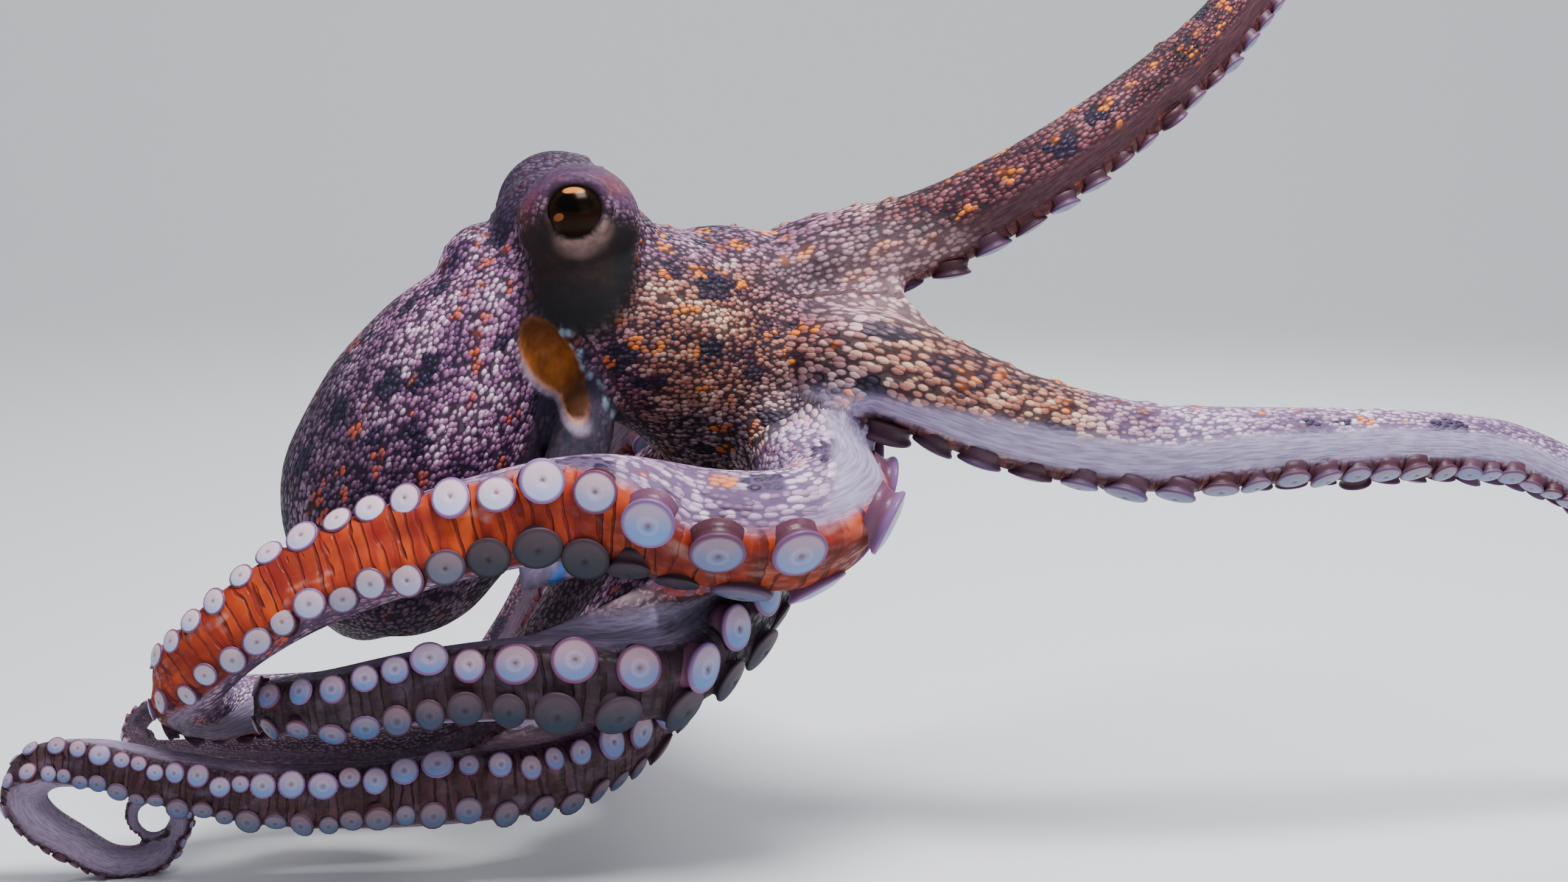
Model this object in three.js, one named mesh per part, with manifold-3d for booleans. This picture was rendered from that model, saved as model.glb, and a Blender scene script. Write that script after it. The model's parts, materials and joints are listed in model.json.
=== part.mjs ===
// A common octopus, life size, resting on its own arms with the head high.
// Millimetres, +Z up.  While it is drawn the floor is Z = 0, the head faces +X
// and the animal's right side faces -Y; the finished group is then moved so that
// its origin is the middle of the underside of its box.
import * as THREE from 'three';
import { mergeVertices } from 'three/addons/utils/BufferGeometryUtils.js';
import Module from 'manifold-3d';

const wasm = await Module();
wasm.setup();

// ---------------------------------------------------------------- dimensions

const GAP = 0.3;                    // between neighbouring pieces
const BODY_SIDES = 14;
const TRUNK_RINGS = 18;
const EYE_RADIUS = 10.5;
const MOUND_RADIUS = 20;            // the raised orbit round each eye
const WEB_THICKNESS = 3.2;
const WEB_EDGE = 0.65;              // of that thickness, at the free edge
const WEB_START = 0.15;             // of a web's reach, where it leaves the crown
const WEB_SEAT = { back: 0.3, side: 0.62 };   // where it joins an arm, in radii
const STUB_LENGTH = 46;             // of each arm that belongs to the crown
const TAPER_POWER = 0.8;            // an arm's radius falls as (1 - s / length) ^ power,
                                    // with a power of its own on the stouter arms
const ROOT_NARROWING = 0.26;        // an arm is this much thinner where it starts
const ROOT_RUN = 50;                // and has its full radius after this run
const THINNEST = 0.7;               // an arm's radius at its very tip
const ROW = { angle: 0.8, width: 0.42, rise: 0.2 };   // the skin under each sucker row
const GROOVE = { width: 0.5, drop: 0.16 };            // and between the two rows
const LINE_SAMPLES = 400;           // along the middle line of an arm
const ROWS_PER_TURN = 10;           // of a rolled-up tip
const LAID_HEIGHT = 0.72;           // radii from the floor to the middle of a laid arm
const LONGEST_STEP = 24;            // between the rings of an arm
const SHARPEST_STEP = 0.6;          // radians an arm may turn from ring to ring
const STUB_SIDES = 8;
const BLOCK_SIZE = 1200;            // larger than the animal
const GAPE_SIDES = 8;
const ORBIT_SIDES = 10;
const EYE_SIDES = 12;
const FUNNEL_RINGS = 8;
const TUBE_SIDES = 10;              // of the funnel
const TUBE_WALL = 2.5;
const ARM_CLEARANCE = 1.6 * GAP;    // what an arm keeps from the pieces beside it

// Middle line of mantle, head and crown: [x, y, z, half width, half depth].
const TRUNK = [
  [-146, 12, 65, 7, 7],
  [-143, 11, 75, 24, 23],
  [-135, 9, 92, 37, 36],
  [-126, 7, 114, 42.5, 42.5],
  [-114, 5, 136, 42, 42],
  [-101, 3, 156, 37, 36.5],
  [-86, 1, 170, 31, 31],
  [-66, 0, 174, 29, 32],
  [-42, 7, 169, 31, 34],
  [-22, 21, 152, 33, 33],
  [-12, 35, 132, 27, 27],
  [-7, 44, 119, 17, 17],
  [-5, 47, 114, 8, 8],
];

// Middle line of the funnel, in the same way.
const FUNNEL = [
  [-66, -8, 160, 10, 10],
  [-65, -18, 140, 10, 10],
  [-71, -26, 118, 8, 10],
  [-73, -29, 103, 8, 13],
  [-70, -30, 92, 8.5, 16],
];

// The gaping ends of the mantle's opening, one on each side of the neck: each is an
// egg-shaped hollow whose long axis follows the edge of the mantle.
const GAPES = { half: [8.5, 15, 19], along: [0.47, 0, -0.88] };
const GAPE_MIDDLES = [[-73, -34, 159], [-77, 36, 160]];

// Each eye and the middle of the raised orbit that it sits in.  The head is turned a
// little, so that its left side is farther back.
const EYES = {
  right: { middle: [-66, -28.5, 209.5], mound: [-66, -16, 205] },
  left: { middle: [-79, 28.5, 212], mound: [-76, 16, 208] },
};

// The nape behind the eyes, the neck and the forehead on either side of them, and the
// smooth cheek below each orbit.
const NAPE = { half: [20, 22, 26], middle: [-78, 3, 196] };
const NECK = { half: [17, 20, 21], middle: [-98, 2, 184] };
const BRIDGE = { half: [16, 15, 16], middle: [-55, -5, 195] };
const CHEEK = { half: [21, 18, 30], below: [1, 0, -22] };

// Cuts that part mantle, head and crown: a point on the cut and its normal.
const NECK_CUT = { point: [-87, 0, 171], normal: [0.81, 0, 0.58] };
const BROW_CUT = { point: [-45, 6, 170], normal: [0.96, 0.16, -0.22] };

// Each arm: its root radius and the route of its middle line.  A route row is
// [x, y, z, and the way its suckers face].  The free end is a spiral about `axis`,
// whose radius shrinks from `from` to `to`.
const ARMS = {
  right_1: {
    radius: 16.5,
    route: [
      [-12, 36, 150, 0.6, 0.3, -0.7], [-12, 24, 178, 0.9, 0.2, -0.4],
      [9, 20, 190, 0.4, 0.4, -0.85], [47, 15, 201, 0.3, 0.25, -0.9],
      [90, 12, 224, 0.3, 0.15, -0.9], [140, 30, 261, 0.5, 0.1, -0.8],
      [165, 44, 287, 0.5, 0, -0.8], [196, 58, 312, 0.4, -0.3, -0.9],
      [232, 66, 328, 0, -0.3, -1], [264, 68, 324, -0.5, -0.3, -0.8],
    ],
    curl: { axis: [0.1, 1, 0.1], from: 24, to: 7, turns: 1.15, drift: 7, suckers: 1 },
  },
  right_2: {
    radius: 18.5,
    route: [
      [-8, 33, 142, 0.5, 0.2, -0.8], [4, 14, 156, 0.4, 0.1, -0.9],
      [28, -8, 160, 0.1, 0.3, -1], [52, -17, 152, 0, 0.3, -1],
      [77, -19, 142, 0, 0.25, -1], [118, -15, 133, 0, 0.1, -1],
      [152, -9, 132, 0, -0.15, -1], [206, 5, 131, 0, -0.3, -1],
      [246, 16, 126, 0, -0.2, -1], [280, 22, 108, -0.4, -0.1, -0.9],
      [304, 24, 76, -0.8, 0, -0.5], [320, 23, 40, -0.8, 0, -0.6],
      [338, 18, 10, -0.4, 0.1, -0.9], [362, 8, 0, 0, 0, -1],
    ],
    curl: { axis: [0, 0, 1], from: 17, to: 8, turns: 0.85, drift: 0, suckers: 1 },
  },
  right_3: {
    radius: 20.5,
    taper: 0.52,
    route: [
      [-6, 32, 129, 0.5, 0.1, -0.8], [3, 8, 129, 0.75, -0.1, -0.6],
      [11, -20, 122, 0.85, -0.3, -0.55], [13, -44, 117, 0.7, -0.65, -0.5],
      [1, -59, 114, 0.1, -0.85, -0.5], [-20, -64, 115, 0, -0.88, -0.46],
      [-58, -64, 121, 0, -0.95, -0.3], [-90, -64, 116, 0, -1, -0.2],
      [-120, -64, 107, 0, -1, 0], [-149, -64, 95, 0, -1, 0.15],
      [-169, -63, 82.5, -0.2, -1, 0.25], [-183, -58, 69.5, -0.6, -0.8, 0.2],
      [-190, -47, 58, -1, -0.1, 0.1], [-186, -33, 50.5, -0.8, 0.3, -0.6],
      [-171, -21, 48.5, -0.1, 0.3, -1], [-148, -14, 49, 0, 0.3, -1],
      [-120, -9, 48, 0, 0.3, -1],
    ],
    curl: { axis: [0, 0, 1], from: 14, to: 6, turns: 0.9, drift: -5, suckers: -1 },
  },
  right_4: {
    radius: 18.5,
    taper: 0.5,
    route: [
      [-11, 33, 120, 0.2, 0, -1], [-8, 8, 104, 0.6, -0.3, -0.7],
      [-15, -16, 90, 0.75, -0.5, -0.45], [-31, -42, 72, 0.5, -0.8, -0.4],
      [-50, -59, 67, 0.1, -0.9, -0.45], [-76, -64, 67, 0, -0.92, -0.4],
      [-112, -64, 64, 0, -0.97, -0.25], [-141, -63, 59, -0.1, -1, -0.1],
      [-155, -57, 56.5, -0.7, -0.7, 0], [-160, -48, 54, -1, 0, 0],
      [-153, -40, 52, -0.5, 0.9, 0], [-136, -38, 50, 0, 1, 0],
    ],
    curl: { axis: [0, -1, 0], from: 60, to: 50, turns: 0.11, drift: 0, suckers: 1 },
  },
  left_4: {
    radius: 15.5,
    taper: 0.6,
    route: [
      [-17, 42, 111, 0.1, 0, -1], [-26, 27, 84, 0.6, -0.4, -0.7],
      [-39, 4, 57, 0.6, -0.6, -0.5], [-54, -19, 41, 0.4, -0.8, -0.5],
      [-74, -43, 33, 0.2, -0.9, -0.5], [-98, -57, 30.5, 0, -0.9, -0.5],
      [-140, -60, 28, 0, -0.9, -0.5], [-167, -60, 29, 0, -0.95, -0.35],
      [-195, -60, 34, 0, -1, -0.15], [-218, -60, 38.5, -0.1, -1, 0.1],
      [-233, -60, 37, -0.7, -0.7, 0.3], [-240, -60, 29, -1, -0.1, 0],
      [-236, -60, 21, -0.9, 0, -0.4], [-225, -58, 12.5, -0.5, 0.1, -0.9],
      [-212, -54, 4, -0.3, 0.1, -1], [-201, -50, 5, 0.3, 0, -1],
      [-195, -46, 12, 1, 0, -0.2],
    ],
    curl: { axis: [0, -0.98, -0.2], from: 9.5, to: 5.5, turns: 1, drift: 4, suckers: 1 },
  },
  left_3: {
    radius: 15.5,
    route: [
      [-20, 48, 124, 0.4, 0.2, -0.8], [-42, 61, 110, 0.3, 0.3, -0.9],
      [-64, 71, 80, 0.6, 0.2, -0.7], [-86, 78, 46, 0.5, 0.2, -0.8],
      [-110, 82, 20, 0.3, 0, -1], [-140, 81, 4, 0.1, -0.2, -1],
      [-172, 80, 0, 0, -0.3, -1], [-200, 82, 0, 0, -0.4, -0.9],
      [-229, 84, 2, 0, -0.8, -0.6],
    ],
    curl: { axis: [0, 0.5, -0.87], from: 17, to: 9, turns: 1.2, drift: 0, suckers: 1 },
  },
  left_2: {
    radius: 15.5,
    route: [
      [-16, 51, 132, 0.5, 0.3, -0.8], [-24, 80, 127, 0.2, 0.2, -1],
      [-38, 106, 104, 0.3, -0.4, -0.8], [-50, 132, 72, 0.3, -0.5, -0.8],
      [-60, 156, 36, 0.2, -0.4, -0.9], [-72, 177, 10, 0, -0.2, -1],
      [-92, 192, 0, 0, 0, -1], [-118, 196, 0, 0, 0, -1],
    ],
    curl: { axis: [0, 0, -1], from: 24, to: 9, turns: 1.1, drift: 0, suckers: 1 },
  },
  left_1: {
    radius: 15.5,
    route: [
      [-14, 47, 141, 0.6, 0.3, -0.7], [-11, 80, 159, 0.3, 0.2, -0.9],
      [-30, 110, 151, 0.2, 0, -1], [-60, 132, 116, 0.4, -0.3, -0.8],
      [-86, 146, 72, 0.4, -0.3, -0.8], [-108, 152, 34, 0.3, -0.2, -0.9],
      [-130, 154, 8, 0, 0, -1], [-160, 156, 0, 0, 0, -1],
      [-190, 152, 0, 0, 0, -1],
    ],
    curl: { axis: [0, 0, -1], from: 20, to: 8, turns: 0.9, drift: 0, suckers: 1 },
  },
};

// The named lengths of an arm after its stub: where each ends, as a share of the
// arm, and the sides of its section.
const LENGTHS = [
  { name: 'base', end: 0.28, sides: 8 },
  { name: 'upper', end: 0.46, sides: 8 },
  { name: 'middle', end: 0.63, sides: 8 },
  { name: 'lower', end: 0.8, sides: 8 },
  { name: 'tip', end: 1, sides: 5 },
];

// The web between two neighbours: how far it runs along each, and how far its free
// edge is hollowed, as a share of that.
const WEBS = [
  { between: ['right_1', 'right_2'], reach: [92, 142], hollow: 0.28 },
  { between: ['right_2', 'right_3'], reach: [100, 98], hollow: 0.42 },
  { between: ['right_3', 'right_4'], reach: [136, 172], hollow: 0.12 },
  { between: ['right_4', 'left_4'], reach: [150, 180], hollow: 0.08 },
  { between: ['left_4', 'left_3'], reach: [112, 108], hollow: 0.25 },
  { between: ['left_3', 'left_2'], reach: [104, 104], hollow: 0.25 },
  { between: ['left_2', 'left_1'], reach: [106, 110], hollow: 0.2 },
  { between: ['left_1', 'right_1'], reach: [104, 92], hollow: 0.3 },
];

// ---------------------------------------------------------------- materials

const skin = (color) => new THREE.MeshStandardMaterial({ color, roughness: 0.45, metalness: 0 });
const MATERIALS = {
  mantle: skin(0x5d4352),
  head: skin(0x6a4650),
  crown: skin(0x9a7363),
  web: skin(0xb59483),
  arm: skin(0xa58ca0),
  funnel: skin(0xb9a9b4),
  eye: new THREE.MeshStandardMaterial({ color: 0x120d10, roughness: 0.12, metalness: 0 }),
};

// ---------------------------------------------------------------- solids

const vector = ([x, y, z = 0]) => new THREE.Vector3(x, y, z);

/** A three.js geometry, shared vertices merged, as a solid to join and cut. */
function solid(geometry) {
  const bare = geometry.clone();
  bare.deleteAttribute('normal');
  bare.deleteAttribute('uv');
  const merged = mergeVertices(bare, 1e-4);
  return new wasm.Manifold(new wasm.Mesh({
    numProp: 3,
    vertProperties: new Float32Array(merged.attributes.position.array),
    triVerts: new Uint32Array(merged.index.array),
  }));
}

/** The geometry of a solid's largest body. */
function largestBody(body) {
  const pieces = body.decompose();
  const largest = pieces.reduce((a, b) => (a.volume() > b.volume() ? a : b));
  const mesh = largest.getMesh();
  const geometry = new THREE.BufferGeometry();
  geometry.setAttribute('position', new THREE.BufferAttribute(mesh.vertProperties, 3));
  geometry.setIndex(new THREE.BufferAttribute(mesh.triVerts, 1));
  geometry.computeVertexNormals();
  return geometry;
}

/** Six times the volume inside a closed surface, negative when it faces inwards. */
function facing(points, index) {
  let sum = 0;
  for (let i = 0; i < index.length; i += 3) {
    sum += points[index[i]].dot(points[index[i + 1]].clone().cross(points[index[i + 2]]));
  }
  return sum;
}

/** The closed solid through equal rings of points.  `endFaces` lists the triangles of
 *  an end ring by the places of their corners in it. */
function skinRings(rings, endFaces) {
  const sides = rings[0].length;
  const points = rings.flat();
  const index = [];
  for (let ring = 0; ring < rings.length - 1; ring += 1) {
    for (let side = 0; side < sides; side += 1) {
      const a = ring * sides + side;
      const b = ring * sides + (side + 1) % sides;
      index.push(a, b, b + sides, a, b + sides, a + sides);
    }
  }
  const last = (rings.length - 1) * sides;
  for (const [a, b, c] of endFaces) index.push(a, c, b, last + a, last + b, last + c);
  if (facing(points, index) < 0) index.reverse();
  const geometry = new THREE.BufferGeometry();
  geometry.setFromPoints(points);
  geometry.setIndex(index);
  return solid(geometry);
}

/** A loft whose end rings are convex outlines. */
function loft(rings) {
  const fan = [];
  for (let side = 1; side < rings[0].length - 1; side += 1) fan.push([0, side, side + 1]);
  return skinRings(rings, fan);
}

/** A loft whose rings are thin: a front row of points, then a back row in reverse. */
function loftSheet(rings) {
  const sides = rings[0].length;
  const strip = [];
  for (let i = 0; i < sides / 2 - 1; i += 1) {
    const back = sides - 1 - i;
    strip.push([i, i + 1, back], [i + 1, back - 1, back]);
  }
  return skinRings(rings, strip);
}

/** A ball or egg: half sizes, middle, and the way its long axis points. */
function ball(half, middle, sides, along = [0, 0, 1]) {
  const geometry = new THREE.SphereGeometry(1, sides, Math.round(sides * 0.6));
  geometry.rotateX(Math.PI / 2);
  geometry.scale(...half);
  const turn = new THREE.Quaternion().setFromUnitVectors(
    new THREE.Vector3(0, 0, 1), vector(along).normalize());
  geometry.applyQuaternion(turn);
  geometry.translate(...middle);
  return solid(geometry);
}

/** A large block whose face lies on a cut, on the cut's positive side. */
function beyond({ point, normal }, offset = 0) {
  const unit = vector(normal).normalize();
  const geometry = new THREE.BoxGeometry(BLOCK_SIZE, BLOCK_SIZE, BLOCK_SIZE);
  geometry.translate(0, 0, BLOCK_SIZE / 2 + offset);
  geometry.applyQuaternion(new THREE.Quaternion().setFromUnitVectors(
    new THREE.Vector3(0, 0, 1), unit));
  geometry.translate(...point);
  return solid(geometry);
}

const BELOW_FLOOR = beyond({ point: [0, 0, 0], normal: [0, 0, -1] });

/** Smooth curves through rows of six numbers: a place and three more that go with it. */
function smoothRows(rows, samples) {
  const curve = (from) => new THREE.CatmullRomCurve3(
    rows.map((row) => vector(row.slice(from, from + 3))), false, 'centripetal');
  const places = curve(0);
  const others = curve(3);
  return Array.from({ length: samples + 1 }, (_, i) => (
    { at: places.getPoint(i / samples), more: others.getPoint(i / samples) }));
}

/** The closed body through smoothed rows [x, y, z, half width, half depth]. */
function tubeThrough(stations, sides, margin, past = 0) {
  return loft(stations.map(({ at, more }, i) => {
    const before = stations[Math.max(i - 1, 0)].at;
    const after = stations[Math.min(i + 1, stations.length - 1)].at;
    const along = after.clone().sub(before).normalize();
    const across = new THREE.Vector3(0, 1, 0).addScaledVector(along, -along.y).normalize();
    const deep = along.clone().cross(across);
    const ahead = i === stations.length - 1 ? past : 0;
    return Array.from({ length: sides }, (_, side) => {
      const turn = side / sides * 2 * Math.PI;
      return at.clone().addScaledVector(along, ahead)
        .addScaledVector(across, (more.x + margin) * Math.cos(turn))
        .addScaledVector(deep, (more.y + margin) * Math.sin(turn));
    });
  }));
}

// ---------------------------------------------------------------- trunk

/** Mantle, head and crown as one tapering body, grown by `margin`. */
function trunk(margin = 0) {
  return tubeThrough(smoothRows(TRUNK, TRUNK_RINGS), BODY_SIDES, margin);
}

/** The raised orbits, the nape behind them and the smooth cheek under each. */
function orbits(margin = 0) {
  const grown = ({ half, middle }) => ball(
    half.map((size) => size + margin), middle, ORBIT_SIDES);
  let body = grown(NAPE).add(grown(NECK)).add(grown(BRIDGE));
  for (const { mound } of Object.values(EYES)) {
    const cheek = mound.map((place, i) => place + CHEEK.below[i]);
    body = body
      .add(grown({ half: [MOUND_RADIUS, MOUND_RADIUS, MOUND_RADIUS], middle: mound }))
      .add(grown({ half: CHEEK.half, middle: cheek }));
  }
  return body;
}

/** The hollows of the mantle's opening. */
function mantleOpening() {
  const [first, second] = GAPE_MIDDLES.map(
    (middle) => ball(GAPES.half, middle, GAPE_SIDES, GAPES.along));
  return first.add(second);
}

// ---------------------------------------------------------------- arms

/** The middle line of an arm with its free end rolled up. */
function armLine({ route, curl }) {
  const rows = route.map((row) => row.slice());
  const last = vector(rows.at(-1));
  const heading = last.clone().sub(vector(rows.at(-2)));
  const axis = vector(curl.axis).normalize();
  heading.addScaledVector(axis, -heading.dot(axis)).normalize();
  const inward = axis.clone().cross(heading);
  const middle = last.clone().addScaledVector(inward, curl.from);
  const steps = Math.ceil(curl.turns * ROWS_PER_TURN);
  for (let step = 1; step <= steps; step += 1) {
    const share = step / steps;
    const turn = share * curl.turns * 2 * Math.PI;
    const reach = curl.from * (curl.to / curl.from) ** share;
    const out = inward.clone().multiplyScalar(-Math.cos(turn))
      .addScaledVector(heading, Math.sin(turn));
    const at = middle.clone().addScaledVector(out, reach)
      .addScaledVector(axis, curl.drift * share * curl.turns);
    out.multiplyScalar(curl.suckers);
    rows.push([at.x, at.y, at.z, out.x, out.y, out.z]);
  }
  return smoothRows(rows, LINE_SAMPLES);
}

/** An arm's middle line with distances along it, and its radius at a distance. */
function measureArm(arm) {
  const power = arm.taper ?? TAPER_POWER;
  const stations = armLine(arm);
  let run = 0;
  stations.forEach((station, i) => {
    if (i > 0) run += station.at.distanceTo(stations[i - 1].at);
    station.run = run;
  });
  const total = run;
  const radiusAt = (s) => {
    const taper = Math.max(1 - s / total, 0) ** power;
    const root = Math.max(1 - s / ROOT_RUN, 0) ** 2;
    return Math.max(arm.radius * taper * (1 - ROOT_NARROWING * root), THINNEST);
  };
  for (const station of stations) {
    const laid = LAID_HEIGHT * radiusAt(station.run);
    const z = station.at.z;
    station.at.z = (z + laid + Math.sqrt((z - laid) ** 2 + laid)) / 2;
  }
  return { ...arm, stations, total, radiusAt };
}

/** Place, heading, oral direction and sideways direction at a distance along an arm. */
function frameAt(arm, s) {
  const found = arm.stations.findIndex((station) => station.run >= s);
  const i = Math.min(Math.max(found < 0 ? arm.stations.length - 1 : found, 1),
    arm.stations.length - 1);
  const a = arm.stations[i - 1];
  const b = arm.stations[i];
  const share = THREE.MathUtils.clamp((s - a.run) / (b.run - a.run), 0, 1);
  const before = arm.stations[Math.max(i - 3, 0)].at;
  const after = arm.stations[Math.min(i + 2, arm.stations.length - 1)].at;
  const along = after.clone().sub(before).normalize();
  const oral = a.more.clone().lerp(b.more, share);
  oral.addScaledVector(along, -oral.dot(along)).normalize();
  return {
    at: a.at.clone().lerp(b.at, share), along, oral,
    side: along.clone().cross(oral),
  };
}

/** How far an arm's skin stands out at an angle from its oral direction: full on
 *  the back and sides, raised along the two rows of suckers, low between them. */
function sectionReach(angle) {
  const row = Math.exp(-(((Math.abs(angle) - ROW.angle) / ROW.width) ** 2));
  const groove = Math.exp(-((angle / GROOVE.width) ** 2));
  return 1 + ROW.rise * row - GROOVE.drop * groove;
}

/** The ring of an arm's section at a distance along it, moved `ahead` a little. */
function armRing(arm, s, sides, margin = 0, ahead = 0) {
  const { at, along, oral, side } = frameAt(arm, s);
  at.addScaledVector(along, ahead);
  const radius = arm.radiusAt(s);
  return Array.from({ length: sides }, (_, k) => {
    const angle = (k / sides * 2 - 1) * Math.PI;
    const reach = radius * sectionReach(angle) + margin;
    return at.clone()
      .addScaledVector(oral, reach * Math.cos(angle))
      .addScaledVector(side, reach * Math.sin(angle));
  });
}

/** Where the rings of a length go: close together where the arm bends. */
function ringPlaces(arm, from, to) {
  const fine = Math.ceil(to - from);
  const places = [from];
  const costs = [0];
  let heading = frameAt(arm, from).along;
  for (let i = 1; i <= fine; i += 1) {
    const s = from + (to - from) * i / fine;
    const { along } = frameAt(arm, s);
    const turn = along.angleTo(heading);
    places.push(s);
    costs.push(costs.at(-1) + (to - from) / fine / LONGEST_STEP + turn / SHARPEST_STEP);
    heading = along;
  }
  const steps = Math.max(Math.ceil(costs.at(-1)), 2);
  return Array.from({ length: steps + 1 }, (_, step) => {
    const cost = costs.at(-1) * step / steps;
    const i = Math.max(costs.findIndex((c) => c >= cost - 1e-9), 0);
    return step === steps ? to : places[i];
  });
}

/** The solid of an arm between two distances along it, half a gap short of each. */
function armLength(arm, from, to, sides, margin = 0) {
  const places = ringPlaces(arm, from, to);
  const short = (GAP - margin) / 2;
  return loft(places.map((s, i) => {
    const ahead = (i === 0 ? short : 0) - (i === places.length - 1 ? short : 0);
    return armRing(arm, s, sides, margin, ahead);
  }));
}

/** The stub and the named lengths of an arm, each grown by `margin`. */
function armPieces(arm, margin = 0) {
  const pieces = { stub: armLength(arm, 0, STUB_LENGTH, STUB_SIDES, margin) };
  let from = STUB_LENGTH;
  for (const { name, end, sides } of LENGTHS) {
    pieces[name] = armLength(arm, from, arm.total * end, sides, margin);
    from = arm.total * end;
  }
  return pieces;
}

// ---------------------------------------------------------------- web

/** The web between two arms: a thin sheet off their outer sides, hollow-edged. */
function webSheet(first, second, reach, hollow) {
  const across = 4;
  const along = 5;
  const edge = (arm, s, toward) => {
    const { at, oral, side } = frameAt(arm, s);
    const lean = side.dot(toward) > 0 ? 1 : -1;
    return at.addScaledVector(oral, -WEB_SEAT.back * arm.radiusAt(s))
      .addScaledVector(side, lean * WEB_SEAT.side * arm.radiusAt(s));
  };
  const grid = [];
  for (let j = 0; j <= across; j += 1) {
    const u = j / across;
    const depth = 1 - hollow * (4 * u * (1 - u)) ** 0.6;
    const column = [];
    for (let i = 0; i <= along; i += 1) {
      const v = WEB_START + (1 - WEB_START) * i / along * depth;
      const a = frameAt(first, v * reach[0]).at;
      const b = frameAt(second, v * reach[1]).at;
      const start = edge(first, v * reach[0], b.clone().sub(a));
      const end = edge(second, v * reach[1], a.clone().sub(b));
      column.push(start.lerp(end, u));
    }
    grid.push(column);
  }
  const normalAt = (j, i) => {
    const p = grid[Math.min(j + 1, across)][i].clone().sub(grid[Math.max(j - 1, 0)][i]);
    const q = grid[j][Math.min(i + 1, along)].clone().sub(grid[j][Math.max(i - 1, 0)]);
    return p.cross(q).normalize();
  };
  const rings = grid.map((column, j) => {
    const shifted = (sign) => column.map((p, i) => {
      const thin = WEB_THICKNESS * (1 - (1 - WEB_EDGE) * i / along) / 2;
      return p.clone().addScaledVector(normalAt(j, i), sign * thin);
    });
    return [...shifted(1), ...shifted(-1).reverse()];
  });
  return loftSheet(rings);
}

// ---------------------------------------------------------------- funnel

/** The funnel: a tube from the mantle's opening down under the head, open below. */
function funnelTube() {
  const stations = smoothRows(FUNNEL, FUNNEL_RINGS);
  const bore = tubeThrough(stations.slice(FUNNEL_RINGS - 2), TUBE_SIDES, -TUBE_WALL, TUBE_WALL);
  return tubeThrough(stations, TUBE_SIDES, 0).subtract(bore);
}

// ---------------------------------------------------------------- assembly

const octopus = new THREE.Group();

function addMesh(name, body, material) {
  const mesh = new THREE.Mesh(largestBody(body.subtract(BELOW_FLOOR)), material);
  mesh.name = name;
  octopus.add(mesh);
}

const arms = Object.fromEntries(
  Object.entries(ARMS).map(([name, arm]) => [name, measureArm(arm)]));

const neckBlock = (offset) => beyond(NECK_CUT, offset);
const browBlock = (offset) => beyond(BROW_CUT, offset);

const eyeball = ({ middle }, radius) => ball([radius, radius, radius], middle, EYE_SIDES);
let sockets = mantleOpening();
for (const eye of Object.values(EYES)) sockets = sockets.add(eyeball(eye, EYE_RADIUS + GAP));

const wholeTrunk = trunk().add(orbits()).subtract(sockets);
const mantle = wholeTrunk.subtract(neckBlock(-GAP / 2));
const head = wholeTrunk.intersect(neckBlock(GAP / 2)).subtract(browBlock(-GAP / 2));

let crown = trunk().intersect(browBlock(GAP / 2));
let aroundCrown = trunk(GAP).add(orbits(GAP));
let aroundArms = aroundCrown;
for (const arm of Object.values(arms)) {
  crown = crown.add(armPieces(arm).stub);
  const grown = armPieces(arm, ARM_CLEARANCE);
  aroundCrown = aroundCrown.add(grown.stub);
  aroundArms = aroundArms.add(grown.base).add(grown.upper).add(grown.middle);
}
crown = crown.subtract(orbits(GAP)).subtract(trunk(GAP).subtract(browBlock(GAP / 2)));
aroundArms = aroundArms.add(aroundCrown);

addMesh('mantle', mantle, MATERIALS.mantle);
addMesh('head', head, MATERIALS.head);
addMesh('arm_crown', crown, MATERIALS.crown);
for (const [side, eye] of Object.entries(EYES)) {
  addMesh(`eye_${side}`, eyeball(eye, EYE_RADIUS), MATERIALS.eye);
}
addMesh('funnel', funnelTube().subtract(aroundArms), MATERIALS.funnel);

for (const { between: [first, second], reach, hollow } of WEBS) {
  const sheet = webSheet(arms[first], arms[second], reach, hollow).subtract(aroundArms);
  addMesh(`web_${first}_${second}`, sheet, MATERIALS.web);
}

for (const [name, arm] of Object.entries(arms)) {
  const pieces = armPieces(arm);
  pieces.base = pieces.base.subtract(aroundCrown);
  for (const length of LENGTHS) {
    addMesh(`arm_${name}_${length.name}`, pieces[length.name], MATERIALS.arm);
  }
}

const box = new THREE.Box3().setFromObject(octopus, true);
const middle = box.getCenter(new THREE.Vector3());
octopus.position.set(-middle.x, -middle.y, -box.min.z);

export default octopus;
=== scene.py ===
"""A common octopus resting on its arms: its skin, suckers and eyes, and their finishes.

The body is laid out in millimetres, with the floor at Z = 0, the head towards +X and
the animal's right side towards -Y.  Each mesh is then put in the row frame, in metres.
"""
import json
import math

import bpy
import numpy as np
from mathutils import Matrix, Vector
from mathutils.bvhtree import BVHTree

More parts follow.
